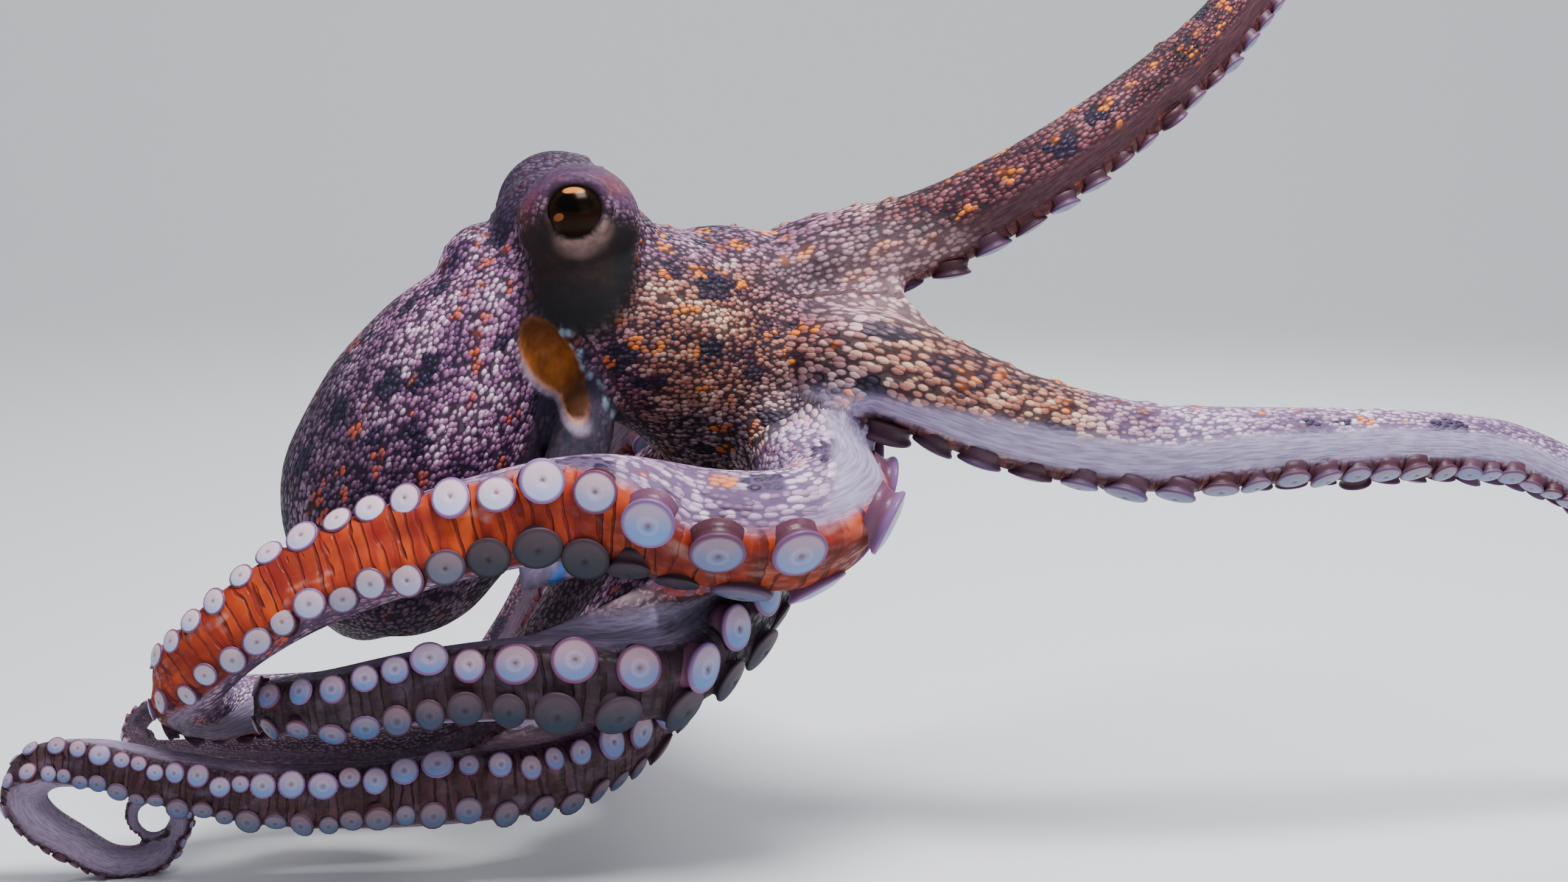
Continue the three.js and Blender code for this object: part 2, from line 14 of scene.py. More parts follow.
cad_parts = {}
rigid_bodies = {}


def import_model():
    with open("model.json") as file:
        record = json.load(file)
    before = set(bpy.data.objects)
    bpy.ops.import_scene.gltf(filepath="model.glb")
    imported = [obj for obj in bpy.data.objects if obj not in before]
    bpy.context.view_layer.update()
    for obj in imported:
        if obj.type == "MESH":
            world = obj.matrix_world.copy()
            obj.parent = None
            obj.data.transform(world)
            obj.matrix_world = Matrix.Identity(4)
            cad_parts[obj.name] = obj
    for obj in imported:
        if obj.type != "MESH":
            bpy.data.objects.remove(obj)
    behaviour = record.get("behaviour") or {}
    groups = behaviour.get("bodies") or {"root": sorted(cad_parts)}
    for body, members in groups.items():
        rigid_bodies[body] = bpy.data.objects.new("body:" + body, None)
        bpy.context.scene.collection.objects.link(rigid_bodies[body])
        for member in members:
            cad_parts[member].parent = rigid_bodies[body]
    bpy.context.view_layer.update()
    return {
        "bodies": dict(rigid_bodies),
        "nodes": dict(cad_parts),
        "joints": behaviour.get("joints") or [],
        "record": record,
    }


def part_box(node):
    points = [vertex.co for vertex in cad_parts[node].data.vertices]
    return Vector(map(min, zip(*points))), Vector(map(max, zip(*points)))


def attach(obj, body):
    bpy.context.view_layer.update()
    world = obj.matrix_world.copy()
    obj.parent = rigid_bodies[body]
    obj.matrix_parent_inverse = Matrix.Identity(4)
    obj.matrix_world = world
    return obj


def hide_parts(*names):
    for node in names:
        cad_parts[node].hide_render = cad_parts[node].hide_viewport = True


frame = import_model()
bpy.ops.object.select_all(action="DESELECT")

# ------------------------------------------------------------------ sizes

METRE = 0.001                       # one millimetre
EYE_RADIUS = 10.5
MOUND_RADIUS = 20
SKIN_GRID = 1.3                     # of the remeshed skin
SKIN_FACES = 190000                 # triangles at most
STATION_STEP = 1.0                  # along the middle line of an arm
ARM_SIDES = 44
TRUNK_SIDES = 72
TAPER_POWER = 0.8
ROOT_NARROWING = 0.26
ROOT_RUN = 50
LAID_HEIGHT = 0.72
THINNEST = 1.15
ROUTE_SAMPLES = 2400                # of the curve through an arm's route
SPIRAL_ROWS = 10                    # rows of the route in one turn of a free end
RING_SPACING = 0.11                 # between the rings of an arm, in its radii
LEAST_SPACING = 0.8
CREASE_REACH = 5                    # of the creases that are filled between arms' roots
ROW_ANGLE = 0.62                    # from the middle of an arm's underside to a row
ROW_WIDTH = 0.42                    # of the swelling under a row, in radians
ROW_SWELL = 0.12                    # its height, in the arm's radii
GROOVE_WIDTH = 0.34                 # of the groove between the rows
GROOVE_DEPTH = 0.06

# Middle line of mantle, head and crown: [x, y, z, half width, half depth].
TRUNK = [
    [-146, 12, 65, 7, 7],
    [-143, 11, 75, 24, 23],
    [-135, 9, 92, 37, 36],
    [-126, 7, 114, 42.5, 42.5],
    [-114, 5, 136, 42, 42],
    [-101, 3, 156, 37, 36.5],
    [-86, 1, 170, 31, 31],
    [-66, 0, 174, 29, 32],
    [-42, 7, 169, 31, 34],
    [-22, 21, 152, 33, 33],
    [-12, 35, 132, 27, 27],
    [-7, 44, 119, 17, 17],
    [-5, 47, 114, 8, 8],
]

FUNNEL = [
    [-66, -8, 160, 10, 10],
    [-65, -18, 140, 10, 10],
    [-71, -26, 118, 8, 10],
    [-73, -29, 103, 8, 13],
    [-70, -30, 92, 8.5, 16],
]

EYES = {
    "right": {"middle": (-66, -28.5, 209.5), "mound": (-66, -16, 205), "lid": (0.7, 9.3)},
    "left": {"middle": (-79, 28.5, 212), "mound": (-76, 16, 208), "lid": (0.2, 8.6)},
}
LID = {"out": 4.6, "arch": 1.6, "reach": 10.4, "drop": 0.2, "thick": 2.2}
NAPE = {"half": (20, 22, 26), "middle": (-78, 3, 196)}
CHEEK = {"half": (21, 18, 30), "below": (1, 0, -22)}
SHOULDER = {"half": (34, 21, 25), "middle": (-22, 15, 178)}
NECK = {"half": (17, 20, 21), "middle": (-98, 2, 184)}
BRIDGE = {"half": (16, 15, 16), "middle": (-55, -5, 195)}
GAPES = {"half": (8.5, 15, 19), "along": (0.47, 0, -0.88)}
GAPE_MIDDLES = [(-73, -34, 159), (-77, 36, 160)]

# The mouth, in the middle of the arms' ring: a place behind it and the way it faces.
MOUTH = {"behind": (-14, 35, 129), "faces": (0.91, 0.35, -0.2)}

# Egg-shaped regions of the skin: middle, half sizes and how soft the edge is.
REGIONS = {
    "crown": ((2, 22, 145), (58, 60, 58), 0.45),
    "smoothed crown": ((-2, 20, 140), (52, 62, 62), 0.4),
    "round the eyes": ((-70, 0, 195), (34, 46, 46), 0.3),
    "round the funnel": ((-66, -20, 145), (26, 26, 30), 0.3),
    "along the funnel": ((-69, -22, 125), (24, 26, 48), 0.1),
    "mauve web": ((20, 0, 190), (30, 40, 22), 0.5),
    "cream crown": ((12, -25, 138), (26, 26, 22), 0.5),
    "cream under the crown": ((-25, -20, 128), (22, 30, 16), 0.5),
    "pale web": ((44, 0, 186), (24, 26, 16), 0.6),
    "rosy web": ((18, -14, 190), (22, 22, 13), 0.6),
    "painted shade in the hollow below": ((-34, -26, 84), (46, 36, 24), 0.4),
    "painted shadow behind the crown": ((-32, -20, 140), (24, 40, 34), 0.5),
    "dome": ((-80, 8, 212), (26, 30, 26), 0.35),
}

# Each arm: its root radius, how it thins, how far its suckers turn upwards at distances
# along it, the route of its middle line with the way its suckers face, and the spiral of
# its free end: axis, first and last radius, turns, drift, and whether the suckers face
# out of the spiral (1) or into it (-1).
ARMS = {
    "right_1": {
        "radius": 16.5,
        "route": [
            [-12, 36, 150, 0.6, 0.3, -0.7], [-12, 24, 178, 0.9, 0.2, -0.4],
            [9, 20, 190, 0.4, 0.4, -0.85], [47, 15, 201, 0.3, 0.25, -0.9],
            [90, 12, 224, 0.3, 0.15, -0.9], [140, 30, 261, 0.5, 0.1, -0.8],
            [165, 44, 287, 0.5, 0, -0.8], [196, 58, 312, 0.4, -0.3, -0.9],
            [232, 66, 328, 0, -0.3, -1], [264, 68, 324, -0.5, -0.3, -0.8],
        ],
        "curl": [(0.1, 1, 0.1), 24, 7, 1.15, 7, 1],
    },
    "right_2": {
        "radius": 18.5,
        "route": [
            [-8, 33, 142, 0.5, 0.2, -0.8], [4, 14, 156, 0.4, 0.1, -0.9],
            [28, -8, 160, 0.1, 0.3, -1], [52, -17, 152, 0, 0.3, -1],
            [77, -19, 142, 0, 0.25, -1], [118, -15, 133, 0, 0.1, -1],
            [152, -9, 132, 0, -0.15, -1], [206, 5, 131, 0, -0.3, -1],
            [246, 16, 126, 0, -0.2, -1], [280, 22, 108, -0.4, -0.1, -0.9],
            [304, 24, 76, -0.8, 0, -0.5], [320, 23, 40, -0.8, 0, -0.6],
            [338, 18, 10, -0.4, 0.1, -0.9], [362, 8, 0, 0, 0, -1],
        ],
        "curl": [(0, 0, 1), 17, 8, 0.85, 0, 1],
    },
    "right_3": {
        "radius": 20.5,
        "taper": 0.52,
        "turned": ((60, 85, 110, 132, 150, 170, 200, 225, 257, 275, 295, 320),
                   (0, -0.3, -0.55, -0.65, -0.2, 0.2, 0.2, 0.42, 0.45, 0.05, -0.2, 0)),
        "route": [
            [-6, 32, 129, 0.5, 0.1, -0.8], [3, 8, 129, 0.75, -0.1, -0.6],
            [11, -20, 122, 0.85, -0.3, -0.55], [13, -44, 117, 0.7, -0.65, -0.5],
            [1, -59, 114, 0.1, -0.9, -0.36], [-20, -64, 115, 0, -0.95, -0.3],
            [-58, -64, 121, 0, -0.98, -0.2], [-90, -64, 116, 0, -1, -0.12],
            [-120, -64, 107, 0, -1, 0], [-149, -64, 95, 0, -1, 0.15],
            [-169, -63, 82.5, -0.2, -1, 0.25], [-183, -58, 69.5, -0.6, -0.8, 0.2],
            [-190, -47, 58, -1, -0.1, 0.1], [-186, -33, 50.5, -0.8, 0.3, -0.6],
            [-171, -21, 48.5, -0.1, 0.3, -1], [-148, -14, 49, 0, 0.3, -1],
            [-120, -9, 48, 0, 0.3, -1],
        ],
        "curl": [(0, 0, 1), 14, 6, 0.9, -5, -1],
    },
    "right_4": {
        "radius": 18.5,
        "taper": 0.5,
        "turned": ((105, 135, 160, 182, 200, 215), (0, 0.35, 0.48, 0.42, 0.2, 0)),
        "route": [
            [-11, 33, 120, 0.2, 0, -1], [-8, 8, 104, 0.6, -0.3, -0.7],
            [-15, -16, 90, 0.75, -0.5, -0.45], [-31, -42, 72, 0.5, -0.8, -0.4],
            [-50, -59, 67, 0.1, -0.9, -0.45], [-76, -64, 67, 0, -0.92, -0.4],
            [-112, -64, 64, 0, -0.97, -0.25], [-141, -63, 59, -0.1, -1, -0.1],
            [-155, -57, 56.5, -0.7, -0.7, 0], [-160, -48, 54, -1, 0, 0],
            [-153, -40, 52, -0.5, 0.9, 0], [-136, -38, 50, 0, 1, 0],
        ],
        "curl": [(0, -1, 0), 60, 50, 0.11, 0, 1],
    },
    "left_4": {
        "radius": 15.5,
        "taper": 0.6,
        "turned": ((105, 140, 175, 195, 215, 235, 260), (0, 0.45, 0.8, 0.65, 0.45, 0.25, 0)),
        "route": [
            [-17, 42, 111, 0.1, 0, -1], [-26, 27, 84, 0.6, -0.4, -0.7],
            [-39, 4, 57, 0.6, -0.6, -0.5], [-54, -19, 41, 0.4, -0.8, -0.5],
            [-74, -43, 33, 0.2, -0.9, -0.5], [-98, -57, 30.5, 0, -0.9, -0.5],
            [-140, -60, 28, 0, -0.9, -0.5], [-167, -60, 29, 0, -0.95, -0.35],
            [-195, -60, 34, 0, -1, -0.15], [-218, -60, 38.5, -0.1, -1, 0.1],
            [-233, -60, 37, -0.7, -0.7, 0.3], [-240, -60, 29, -1, -0.1, 0],
            [-236, -60, 21, -0.9, 0, -0.4], [-225, -58, 12.5, -0.5, 0.1, -0.9],
            [-212, -54, 4, -0.3, 0.1, -1], [-201, -50, 5, 0.3, 0, -1],
            [-195, -46, 12, 1, 0, -0.2],
        ],
        "curl": [(0, -0.98, -0.2), 9.5, 5.5, 1, 4, 1],
    },
    "left_3": {
        "radius": 15.5,
        "route": [
            [-20, 48, 124, 0.4, 0.2, -0.8], [-42, 61, 110, 0.3, 0.3, -0.9],
            [-64, 71, 80, 0.6, 0.2, -0.7], [-86, 78, 46, 0.5, 0.2, -0.8],
            [-110, 82, 20, 0.3, 0, -1], [-140, 81, 4, 0.1, -0.2, -1],
            [-172, 80, 0, 0, -0.3, -1], [-200, 82, 0, 0, -0.4, -0.9],
            [-229, 84, 2, 0, -0.8, -0.6],
        ],
        "curl": [(0, 0.5, -0.87), 17, 9, 1.2, 0, 1],
    },
    "left_2": {
        "radius": 15.5,
        "route": [
            [-16, 51, 132, 0.5, 0.3, -0.8], [-24, 80, 127, 0.2, 0.2, -1],
            [-38, 106, 104, 0.3, -0.4, -0.8], [-50, 132, 72, 0.3, -0.5, -0.8],
            [-60, 156, 36, 0.2, -0.4, -0.9], [-72, 177, 10, 0, -0.2, -1],
            [-92, 192, 0, 0, 0, -1], [-118, 196, 0, 0, 0, -1],
        ],
        "curl": [(0, 0, -1), 24, 9, 1.1, 0, 1],
    },
    "left_1": {
        "radius": 15.5,
        "route": [
            [-14, 47, 141, 0.6, 0.3, -0.7], [-11, 80, 159, 0.3, 0.2, -0.9],
            [-30, 110, 151, 0.2, 0, -1], [-60, 132, 116, 0.4, -0.3, -0.8],
            [-86, 146, 72, 0.4, -0.3, -0.8], [-108, 152, 34, 0.3, -0.2, -0.9],
            [-130, 154, 8, 0, 0, -1], [-160, 156, 0, 0, 0, -1],
            [-190, 152, 0, 0, 0, -1],
        ],
        "curl": [(0, 0, -1), 20, 8, 0.9, 0, 1],
    },
}

# The webs: the arms they join, how far they run along each, and the hollow of the edge.
WEBS = [
    ["right_1", "right_2", 92, 142, 0.28],
    ["right_2", "right_3", 100, 98, 0.42],
    ["right_3", "right_4", 136, 172, 0.12],
    ["right_4", "left_4", 150, 180, 0.08],
    ["left_4", "left_3", 112, 108, 0.25],
    ["left_3", "left_2", 104, 104, 0.25],
    ["left_2", "left_1", 106, 110, 0.2],
    ["left_1", "right_1", 104, 92, 0.3],
]
WEB_THICKNESS = 3.2
WEB_EDGE = 0.65
WEB_START = 0.15
WEB_BORDER = 9                      # width of the pale border along a web's free edge
WEB_SEAT = (0.3, 0.62)              # where it joins an arm, back and sideways, in radii
WEB_POINTS = (41, 31)               # across a web and along it

low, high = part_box("eye_right")
shift = np.array((low + high) / 2) / METRE - np.array(EYES["right"]["middle"])


def placed(points):
    """Points laid out in millimetres, in the row frame in metres."""
    return (np.asarray(points, float) + shift) * METRE


# ------------------------------------------------------------------ small tools


def unit(vectors):
    """The same directions with a length of one."""
    vectors = np.asarray(vectors, float)
    return vectors / np.maximum(np.linalg.norm(vectors, axis=-1, keepdims=True), 1e-9)


def ease(start, end, value):
    """0 before start, 1 past end, and a smooth rise between them."""
    share = np.clip((np.asarray(value, float) - start) / (end - start), 0, 1)
    return share * share * (3 - 2 * share)


def curve_through(rows, places):
    """A centripetal curve through rows of three numbers, at places from 0 to 1."""
    rows = np.asarray(rows, float)
    first, last = 2 * rows[0] - rows[1], 2 * rows[-1] - rows[-2]
    padded = np.vstack([first, rows, last])
    at = np.asarray(places, float) * (len(rows) - 1)
    start = np.clip(at.astype(int), 0, len(rows) - 2)
    share = (at - start)[:, None]
    p = [padded[start + i] for i in range(4)]
    gap = [np.sum((p[i + 1] - p[i]) ** 2, axis=1) ** 0.25 for i in range(3)]
    gap[1] = np.where(gap[1] < 1e-4, 1, gap[1])
    gap[0] = np.where(gap[0] < 1e-4, gap[1], gap[0])
    gap[2] = np.where(gap[2] < 1e-4, gap[1], gap[2])
    a, b, c = (g[:, None] for g in gap)
    lead = ((p[1] - p[0]) / a - (p[2] - p[0]) / (a + b) + (p[2] - p[1]) / b) * b
    tail = ((p[2] - p[1]) / b - (p[3] - p[1]) / (b + c) + (p[3] - p[2]) / c) * b
    square = -3 * p[1] + 3 * p[2] - 2 * lead - tail
    cube = 2 * p[1] - 2 * p[2] + lead + tail
    return p[1] + share * (lead + share * (square + share * cube))


def new_mesh(name, points, faces):
    """A smooth-shaded mesh object from points in metres, in the scene."""
    mesh = bpy.data.meshes.new(name)
    mesh.from_pydata([tuple(p) for p in points], [], [tuple(f) for f in faces])
    mesh.polygons.foreach_set("use_smooth", [True] * len(mesh.polygons))
    mesh.update()
    thing = bpy.data.objects.new(name, mesh)
    bpy.context.scene.collection.objects.link(thing)
    return thing


def pick(*things):
    """Selects these objects alone; the first is the active one."""
    bpy.ops.object.select_all(action="DESELECT")
    for thing in things:
        thing.select_set(True)
    bpy.context.view_layer.objects.active = things[0]


def closed_mesh(name, rings, faces):
    """A closed body through rings of points in millimetres, its faces pointing out."""
    thing = new_mesh(name, placed(rings.reshape(-1, 3)), faces)
    pick(thing)
    bpy.ops.object.mode_set(mode="EDIT")
    bpy.ops.mesh.select_all(action="SELECT")
    bpy.ops.mesh.normals_make_consistent(inside=False)
    bpy.ops.object.mode_set(mode="OBJECT")
    return thing


def joined(parts):
    """The parts as one mesh, remeshed as one closed skin."""
    pick(*parts)
    bpy.ops.object.join()
    return remeshed(bpy.context.object)


def remeshed(thing):
    """The selected mesh with its surface rebuilt on the skin's grid."""
    thing.data.remesh_voxel_size = SKIN_GRID * METRE
    bpy.ops.object.voxel_remesh()
    return thing


def ring_faces(rings, sides, ends):
    """Faces between rings of points, with their ends "capped", "open" or "joined"."""
    k = np.arange(sides)
    nxt = (k + 1) % sides
    faces = []
    for ring in range(rings - (ends != "joined")):
        a, b = ring * sides, (ring + 1) % rings * sides
        faces += list(zip(a + k, a + nxt, b + nxt, b + k))
    if ends == "capped":
        faces.append(tuple(k[::-1]))
        faces.append(tuple((rings - 1) * sides + k))
    return faces


def loft(name, rings):
    """A closed body through an array of rings, shaped (rings, sides, 3), in millimetres."""
    return closed_mesh(name, rings, ring_faces(*rings.shape[:2], "capped"))


def ball(name, half, middle, along=(0, 0, 1)):
    """An egg-shaped body: half sizes, middle and the way its long axis points."""
    turn = Vector((0, 0, 1)).rotation_difference(Vector(along))
    bpy.ops.mesh.primitive_uv_sphere_add(
        segments=48, ring_count=28, radius=METRE, location=placed(middle),
        rotation=turn.to_euler(), scale=half)
    thing = bpy.context.object
    thing.name = name
    bpy.ops.object.transform_apply(location=True, rotation=True, scale=True)
    return thing


# ------------------------------------------------------------------ arms


def measured_arm(radius, route, curl, taper=TAPER_POWER, turned=((0,), (0,))):
    """Stations along an arm: place, heading, sucker side, sideways and radius."""
    rows = np.array(route, float)
    axis, first, last, turns, drift, out = curl
    axis = unit(axis)
    heading = rows[-1, :3] - rows[-2, :3]
    heading = unit(heading - axis * (heading @ axis))
    inward = np.cross(axis, heading)
    middle = rows[-1, :3] + inward * first
    steps = math.ceil(turns * SPIRAL_ROWS)
    share = np.arange(1, steps + 1)[:, None] / steps
    turn = share * turns * 2 * math.pi
    spoke = -inward * np.cos(turn) + heading * np.sin(turn)
    tip = middle + spoke * (first * (last / first) ** share) + axis * drift * share * turns
    rows = np.vstack([rows, np.hstack([tip, spoke * out])])
    places = np.linspace(0, 1, ROUTE_SAMPLES)
    line = curve_through(rows[:, :3], places)
    oral = curve_through(rows[:, 3:], places)
    run = np.concatenate([[0], np.cumsum(np.linalg.norm(np.diff(line, axis=0), axis=1))])
    total = run[-1]
    s = np.linspace(0, total, int(total / STATION_STEP) + 1)
    line = np.column_stack([np.interp(s, run, line[:, i]) for i in range(3)])
    oral = np.column_stack([np.interp(s, run, oral[:, i]) for i in range(3)])
    root = np.maximum(1 - s / ROOT_RUN, 0) ** 2
    thick = radius * (1 - s / total) ** taper * (1 - ROOT_NARROWING * root)
    thick = np.maximum(thick, THINNEST)
    laid = LAID_HEIGHT * thick
    z = line[:, 2]
    line[:, 2] = (z + laid + np.sqrt((z - laid) ** 2 + laid)) / 2
    along = unit(np.gradient(line, axis=0))
    oral = unit(oral - along * np.sum(oral * along, axis=1, keepdims=True))
    side = np.cross(along, oral)
    turn = np.interp(s, *turned)[:, None]
    return {"s": s, "total": total, "at": line, "along": along, "radius": thick,
            "plain_oral": oral, "plain_side": side,
            "oral": oral * np.cos(turn) + side * np.sin(turn),
            "side": side * np.cos(turn) - oral * np.sin(turn)}


arms = {name: measured_arm(**arm) for name, arm in ARMS.items()}


def section_reach(angle):
    """How far the skin stands out at an angle from the suckers' side, in radii."""
    row = np.exp(-(((np.abs(angle) - ROW_ANGLE) / ROW_WIDTH) ** 2))
    groove = np.exp(-((angle / GROOVE_WIDTH) ** 2))
    return 1 + ROW_SWELL * row - GROOVE_DEPTH * groove


def station(arm, s, frame=("oral", "side")):
    """The arm's frame at distances s along it: place, heading, oral, side, radius."""
    s = np.asarray(s, float)
    pull = [np.column_stack([np.interp(s, arm["s"], arm[key][:, i]) for i in range(3)])
            for key in ("at", "along", *frame)]
    return pull[0], unit(pull[1]), unit(pull[2]), unit(pull[3]), np.interp(
        s, arm["s"], arm["radius"])


def arm_body(name, arm):
    """The closed loft of a whole arm, ending in a round tip."""
    places = [0.0]
    while places[-1] < arm["total"] - 0.6:
        radius = np.interp(places[-1], arm["s"], arm["radius"])
        places.append(places[-1] + max(RING_SPACING * radius, LEAST_SPACING))
    places[-1] = arm["total"]
    at, _, oral, side, radius = station(arm, places)
    angle = np.linspace(-math.pi, math.pi, ARM_SIDES, endpoint=False)
    reach = radius[:, None] * section_reach(angle)[None, :]
    rings = (at[:, None] + oral[:, None] * (reach * np.cos(angle))[..., None]
             + side[:, None] * (reach * np.sin(angle))[..., None])
    end = at[-1] + station(arm, [arm["total"]])[1][0] * radius[-1] * 0.6
    tip = end + (rings[-1] - at[-1]) * 0.5
    return loft(name, np.concatenate([rings, tip[None]]))


# ------------------------------------------------------------------ trunk and webs


def tube_rings(rows, rings, sides, shrink=0.0):
    """Oval rings through rows [x, y, z, half width, half depth]."""
    rows = np.array(rows, float)
    wide = np.column_stack([rows[:, 3:], np.zeros(len(rows))])
    places = np.linspace(0, 1, rings)
    at, half = curve_through(rows[:, :3], places), curve_through(wide, places)
    along = unit(np.gradient(at, axis=0))
    across = unit(np.array([0, 1, 0]) - along * along[:, 1:2])
    deep = np.cross(along, across)
    turn = np.linspace(0, 2 * math.pi, sides, endpoint=False)
    return (at[:, None]
            + across[:, None] * ((half[:, :1] - shrink) * np.cos(turn))[..., None]
            + deep[:, None] * ((half[:, 1:2] - shrink) * np.sin(turn))[..., None])


web_edges = []


def web_sheet(name, first, second, reach_first, reach_second, hollow):
    """The thin web between two arms, with a hollow, thinning free edge."""
    across, along = WEB_POINTS
    u = np.linspace(0, 1, across)
    v = np.linspace(0, 1, along)
    depth = 1 - hollow * (4 * u * (1 - u)) ** 0.6
    share = WEB_START + (1 - WEB_START) * v[None, :] * depth[:, None]
    edges = []
    for arm, other, reach, back in ((first, second, reach_first, reach_second),
                                    (second, first, reach_second, reach_first)):
        at, _, oral, side, radius = station(arm, (share * reach).ravel(),
                                            ("plain_oral", "plain_side"))
        toward = station(other, (share * back).ravel())[0] - at
        lean = np.sign(np.sum(side * toward, axis=1, keepdims=True))
        seat = at + (side * lean * WEB_SEAT[1] - oral * WEB_SEAT[0]) * radius[:, None]
        edges.append(seat.reshape(across, along, 3))
    grid = edges[0] * (1 - u)[:, None, None] + edges[1] * u[:, None, None]
    web_edges.append(grid[:, -1])
    normal = unit(np.cross(np.gradient(grid, axis=0), np.gradient(grid, axis=1)))
    thin = WEB_THICKNESS * (1 - (1 - WEB_EDGE) * v) / 2
    top = grid + normal * thin[None, :, None]
    under = grid - normal * thin[None, :, None]
    rings = np.concatenate([top, under[:, ::-1]], axis=1)
    count, sides, _ = rings.shape
    faces = ring_faces(count, sides, "open")
    for ring, order in ((0, 1), (count - 1, -1)):
        base = ring * sides
        for i in range(along - 1):
            quad = (base + i, base + i + 1, base + sides - 2 - i, base + sides - 1 - i)
            faces.append(quad[::order])
    return closed_mesh(name, rings, faces)


def eye_frame(eye):
    """The middle of an eye, and the ways out of the head, up its lid and forwards."""
    middle = np.array(eye["middle"], float)
    out = unit(middle - np.array(eye["mound"]))
    up = unit(np.array([0, 0, 1]) - out * out[2])
    fore = np.cross(up, out)
    return middle, out, up, fore * np.sign(fore[0])


def lid_fold(name, eye):
    """The fold of skin round an eye, heavier above it."""
    middle, out, up, _ = eye_frame(eye)
    fore = np.cross(up, out)
    turn = np.linspace(0, 2 * math.pi, 64, endpoint=False)[:, None]
    upper = np.sin(turn)
    heavy, rise = eye["lid"]
    path = (middle + out * (LID["out"] + LID["arch"] * upper)
            + fore * LID["reach"] * np.cos(turn) + up * (rise * upper - LID["drop"]))
    thick = LID["thick"] + heavy * np.maximum(upper, 0)
    away = unit(path - middle - out * ((path - middle) @ out)[:, None])
    angle = np.linspace(0, 2 * math.pi, 20, endpoint=False)
    rings = (path[:, None] + away[:, None] * (thick * np.cos(angle))[..., None]
             + out[None, None] * (thick * np.sin(angle))[..., None])
    return closed_mesh(name, rings, ring_faces(*rings.shape[:2], "joined"))


def cut_away(body, tool):
    """Cuts the tool's shape out of the body and removes the tool."""
    pick(body)
    cut = body.modifiers.new("cut", "BOOLEAN")
    cut.operation = "DIFFERENCE"
    cut.solver = "EXACT"
    cut.object = tool
    bpy.ops.object.modifier_apply(modifier=cut.name)
    bpy.data.objects.remove(tool)


# ------------------------------------------------------------------ skin


def raw_skin():
    """Every part of the flesh joined and remeshed as one closed skin."""
    trunk = loft("trunk", tube_rings(TRUNK, 70, TRUNK_SIDES))
    parts = [trunk, ball("nape", NAPE["half"], NAPE["middle"]),
             ball("shoulder", SHOULDER["half"], SHOULDER["middle"]),
             ball("neck", NECK["half"], NECK["middle"]),
             ball("bridge", BRIDGE["half"], BRIDGE["middle"])]
    for side, eye in EYES.items():
        mound = np.array(eye["mound"])
        parts.append(ball("orbit_" + side, [MOUND_RADIUS] * 3, mound))
        parts.append(ball("cheek_" + side, CHEEK["half"], mound + CHEEK["below"]))
    body = joined(parts)
    for i, middle in enumerate(GAPE_MIDDLES):
        cut_away(body, ball("gape", GAPES["half"], middle, GAPES["along"]))
    parts = [body, loft("funnel", tube_rings(FUNNEL, 30, 40))]
    parts += [lid_fold("lid_" + side, eye) for side, eye in EYES.items()]
    parts += [arm_body("arm_" + name, arm) for name, arm in arms.items()]
    for first, second, reach_first, reach_second, hollow in WEBS:
        parts.append(web_sheet(f"web_{first}_{second}", arms[first], arms[second],
                               reach_first, reach_second, hollow))
    skin = joined(parts)
    skin.name = "skin"
    return skin


def fill_creases(thing, region, reach):
    """Fills the narrow creases of a region: swells the mesh, remeshes it, shrinks it."""
    for way in (1, -1):
        points, normals = points_of(thing)
        move_points(thing, points + normals * (way * reach * region(points))[:, None])
        if way > 0:
            pick(thing)
            remeshed(thing)


def thin_out(thing, region, most):
    """Brings a mesh down to a number of triangles, least of all in a region."""
    count = sum(len(face.vertices) - 2 for face in thing.data.polygons)
    group = thing.vertex_groups.new(name="free")
    kept = region(points_of(thing)[0])
    for weight in (0.15, 0.5, 1.0):
        chosen = np.flatnonzero(np.abs((1 - kept) - weight) <= 0.25 + 0.1 * (weight < 1))
        group.add(chosen.tolist(), weight, "REPLACE")
    pick(thing)
    fewer = thing.modifiers.new("fewer", "DECIMATE")
    fewer.ratio = most / count
    fewer.vertex_group = group.name
    fewer.vertex_group_factor = 1.0
    bpy.ops.object.modifier_apply(modifier=fewer.name)
    thing.vertex_groups.clear()


def points_of(thing):
    """A mesh's points in millimetres of the layout, and their outward normals."""
    mesh = thing.data
    count = len(mesh.vertices)
    points, normals = np.zeros(count * 3), np.zeros(count * 3)
    mesh.vertices.foreach_get("co", points)
    mesh.vertices.foreach_get("normal", normals)
    return points.reshape(-1, 3) / METRE - shift, normals.reshape(-1, 3)


def move_points(thing, points):
    """Puts a mesh's points at these places, in millimetres of the layout."""
    thing.data.vertices.foreach_set("co", placed(points).ravel())
    thing.data.update()


def smoothed(thing, points, weight, rounds):
    """The points after rounds of smoothing, each by its own weight."""
    edges = np.zeros(len(thing.data.edges) * 2, np.int64)
    thing.data.edges.foreach_get("vertices", edges)
    a, b = edges[0::2], edges[1::2]
    count = len(points)
    links = np.maximum(np.bincount(a, minlength=count) + np.bincount(b, minlength=count), 1)
    for _ in range(rounds):
        total = np.column_stack([
            np.bincount(a, points[b, i], count) + np.bincount(b, points[a, i], count)
            for i in range(3)])
        points = points + (total / links[:, None] - points) * weight[:, None]
    return points


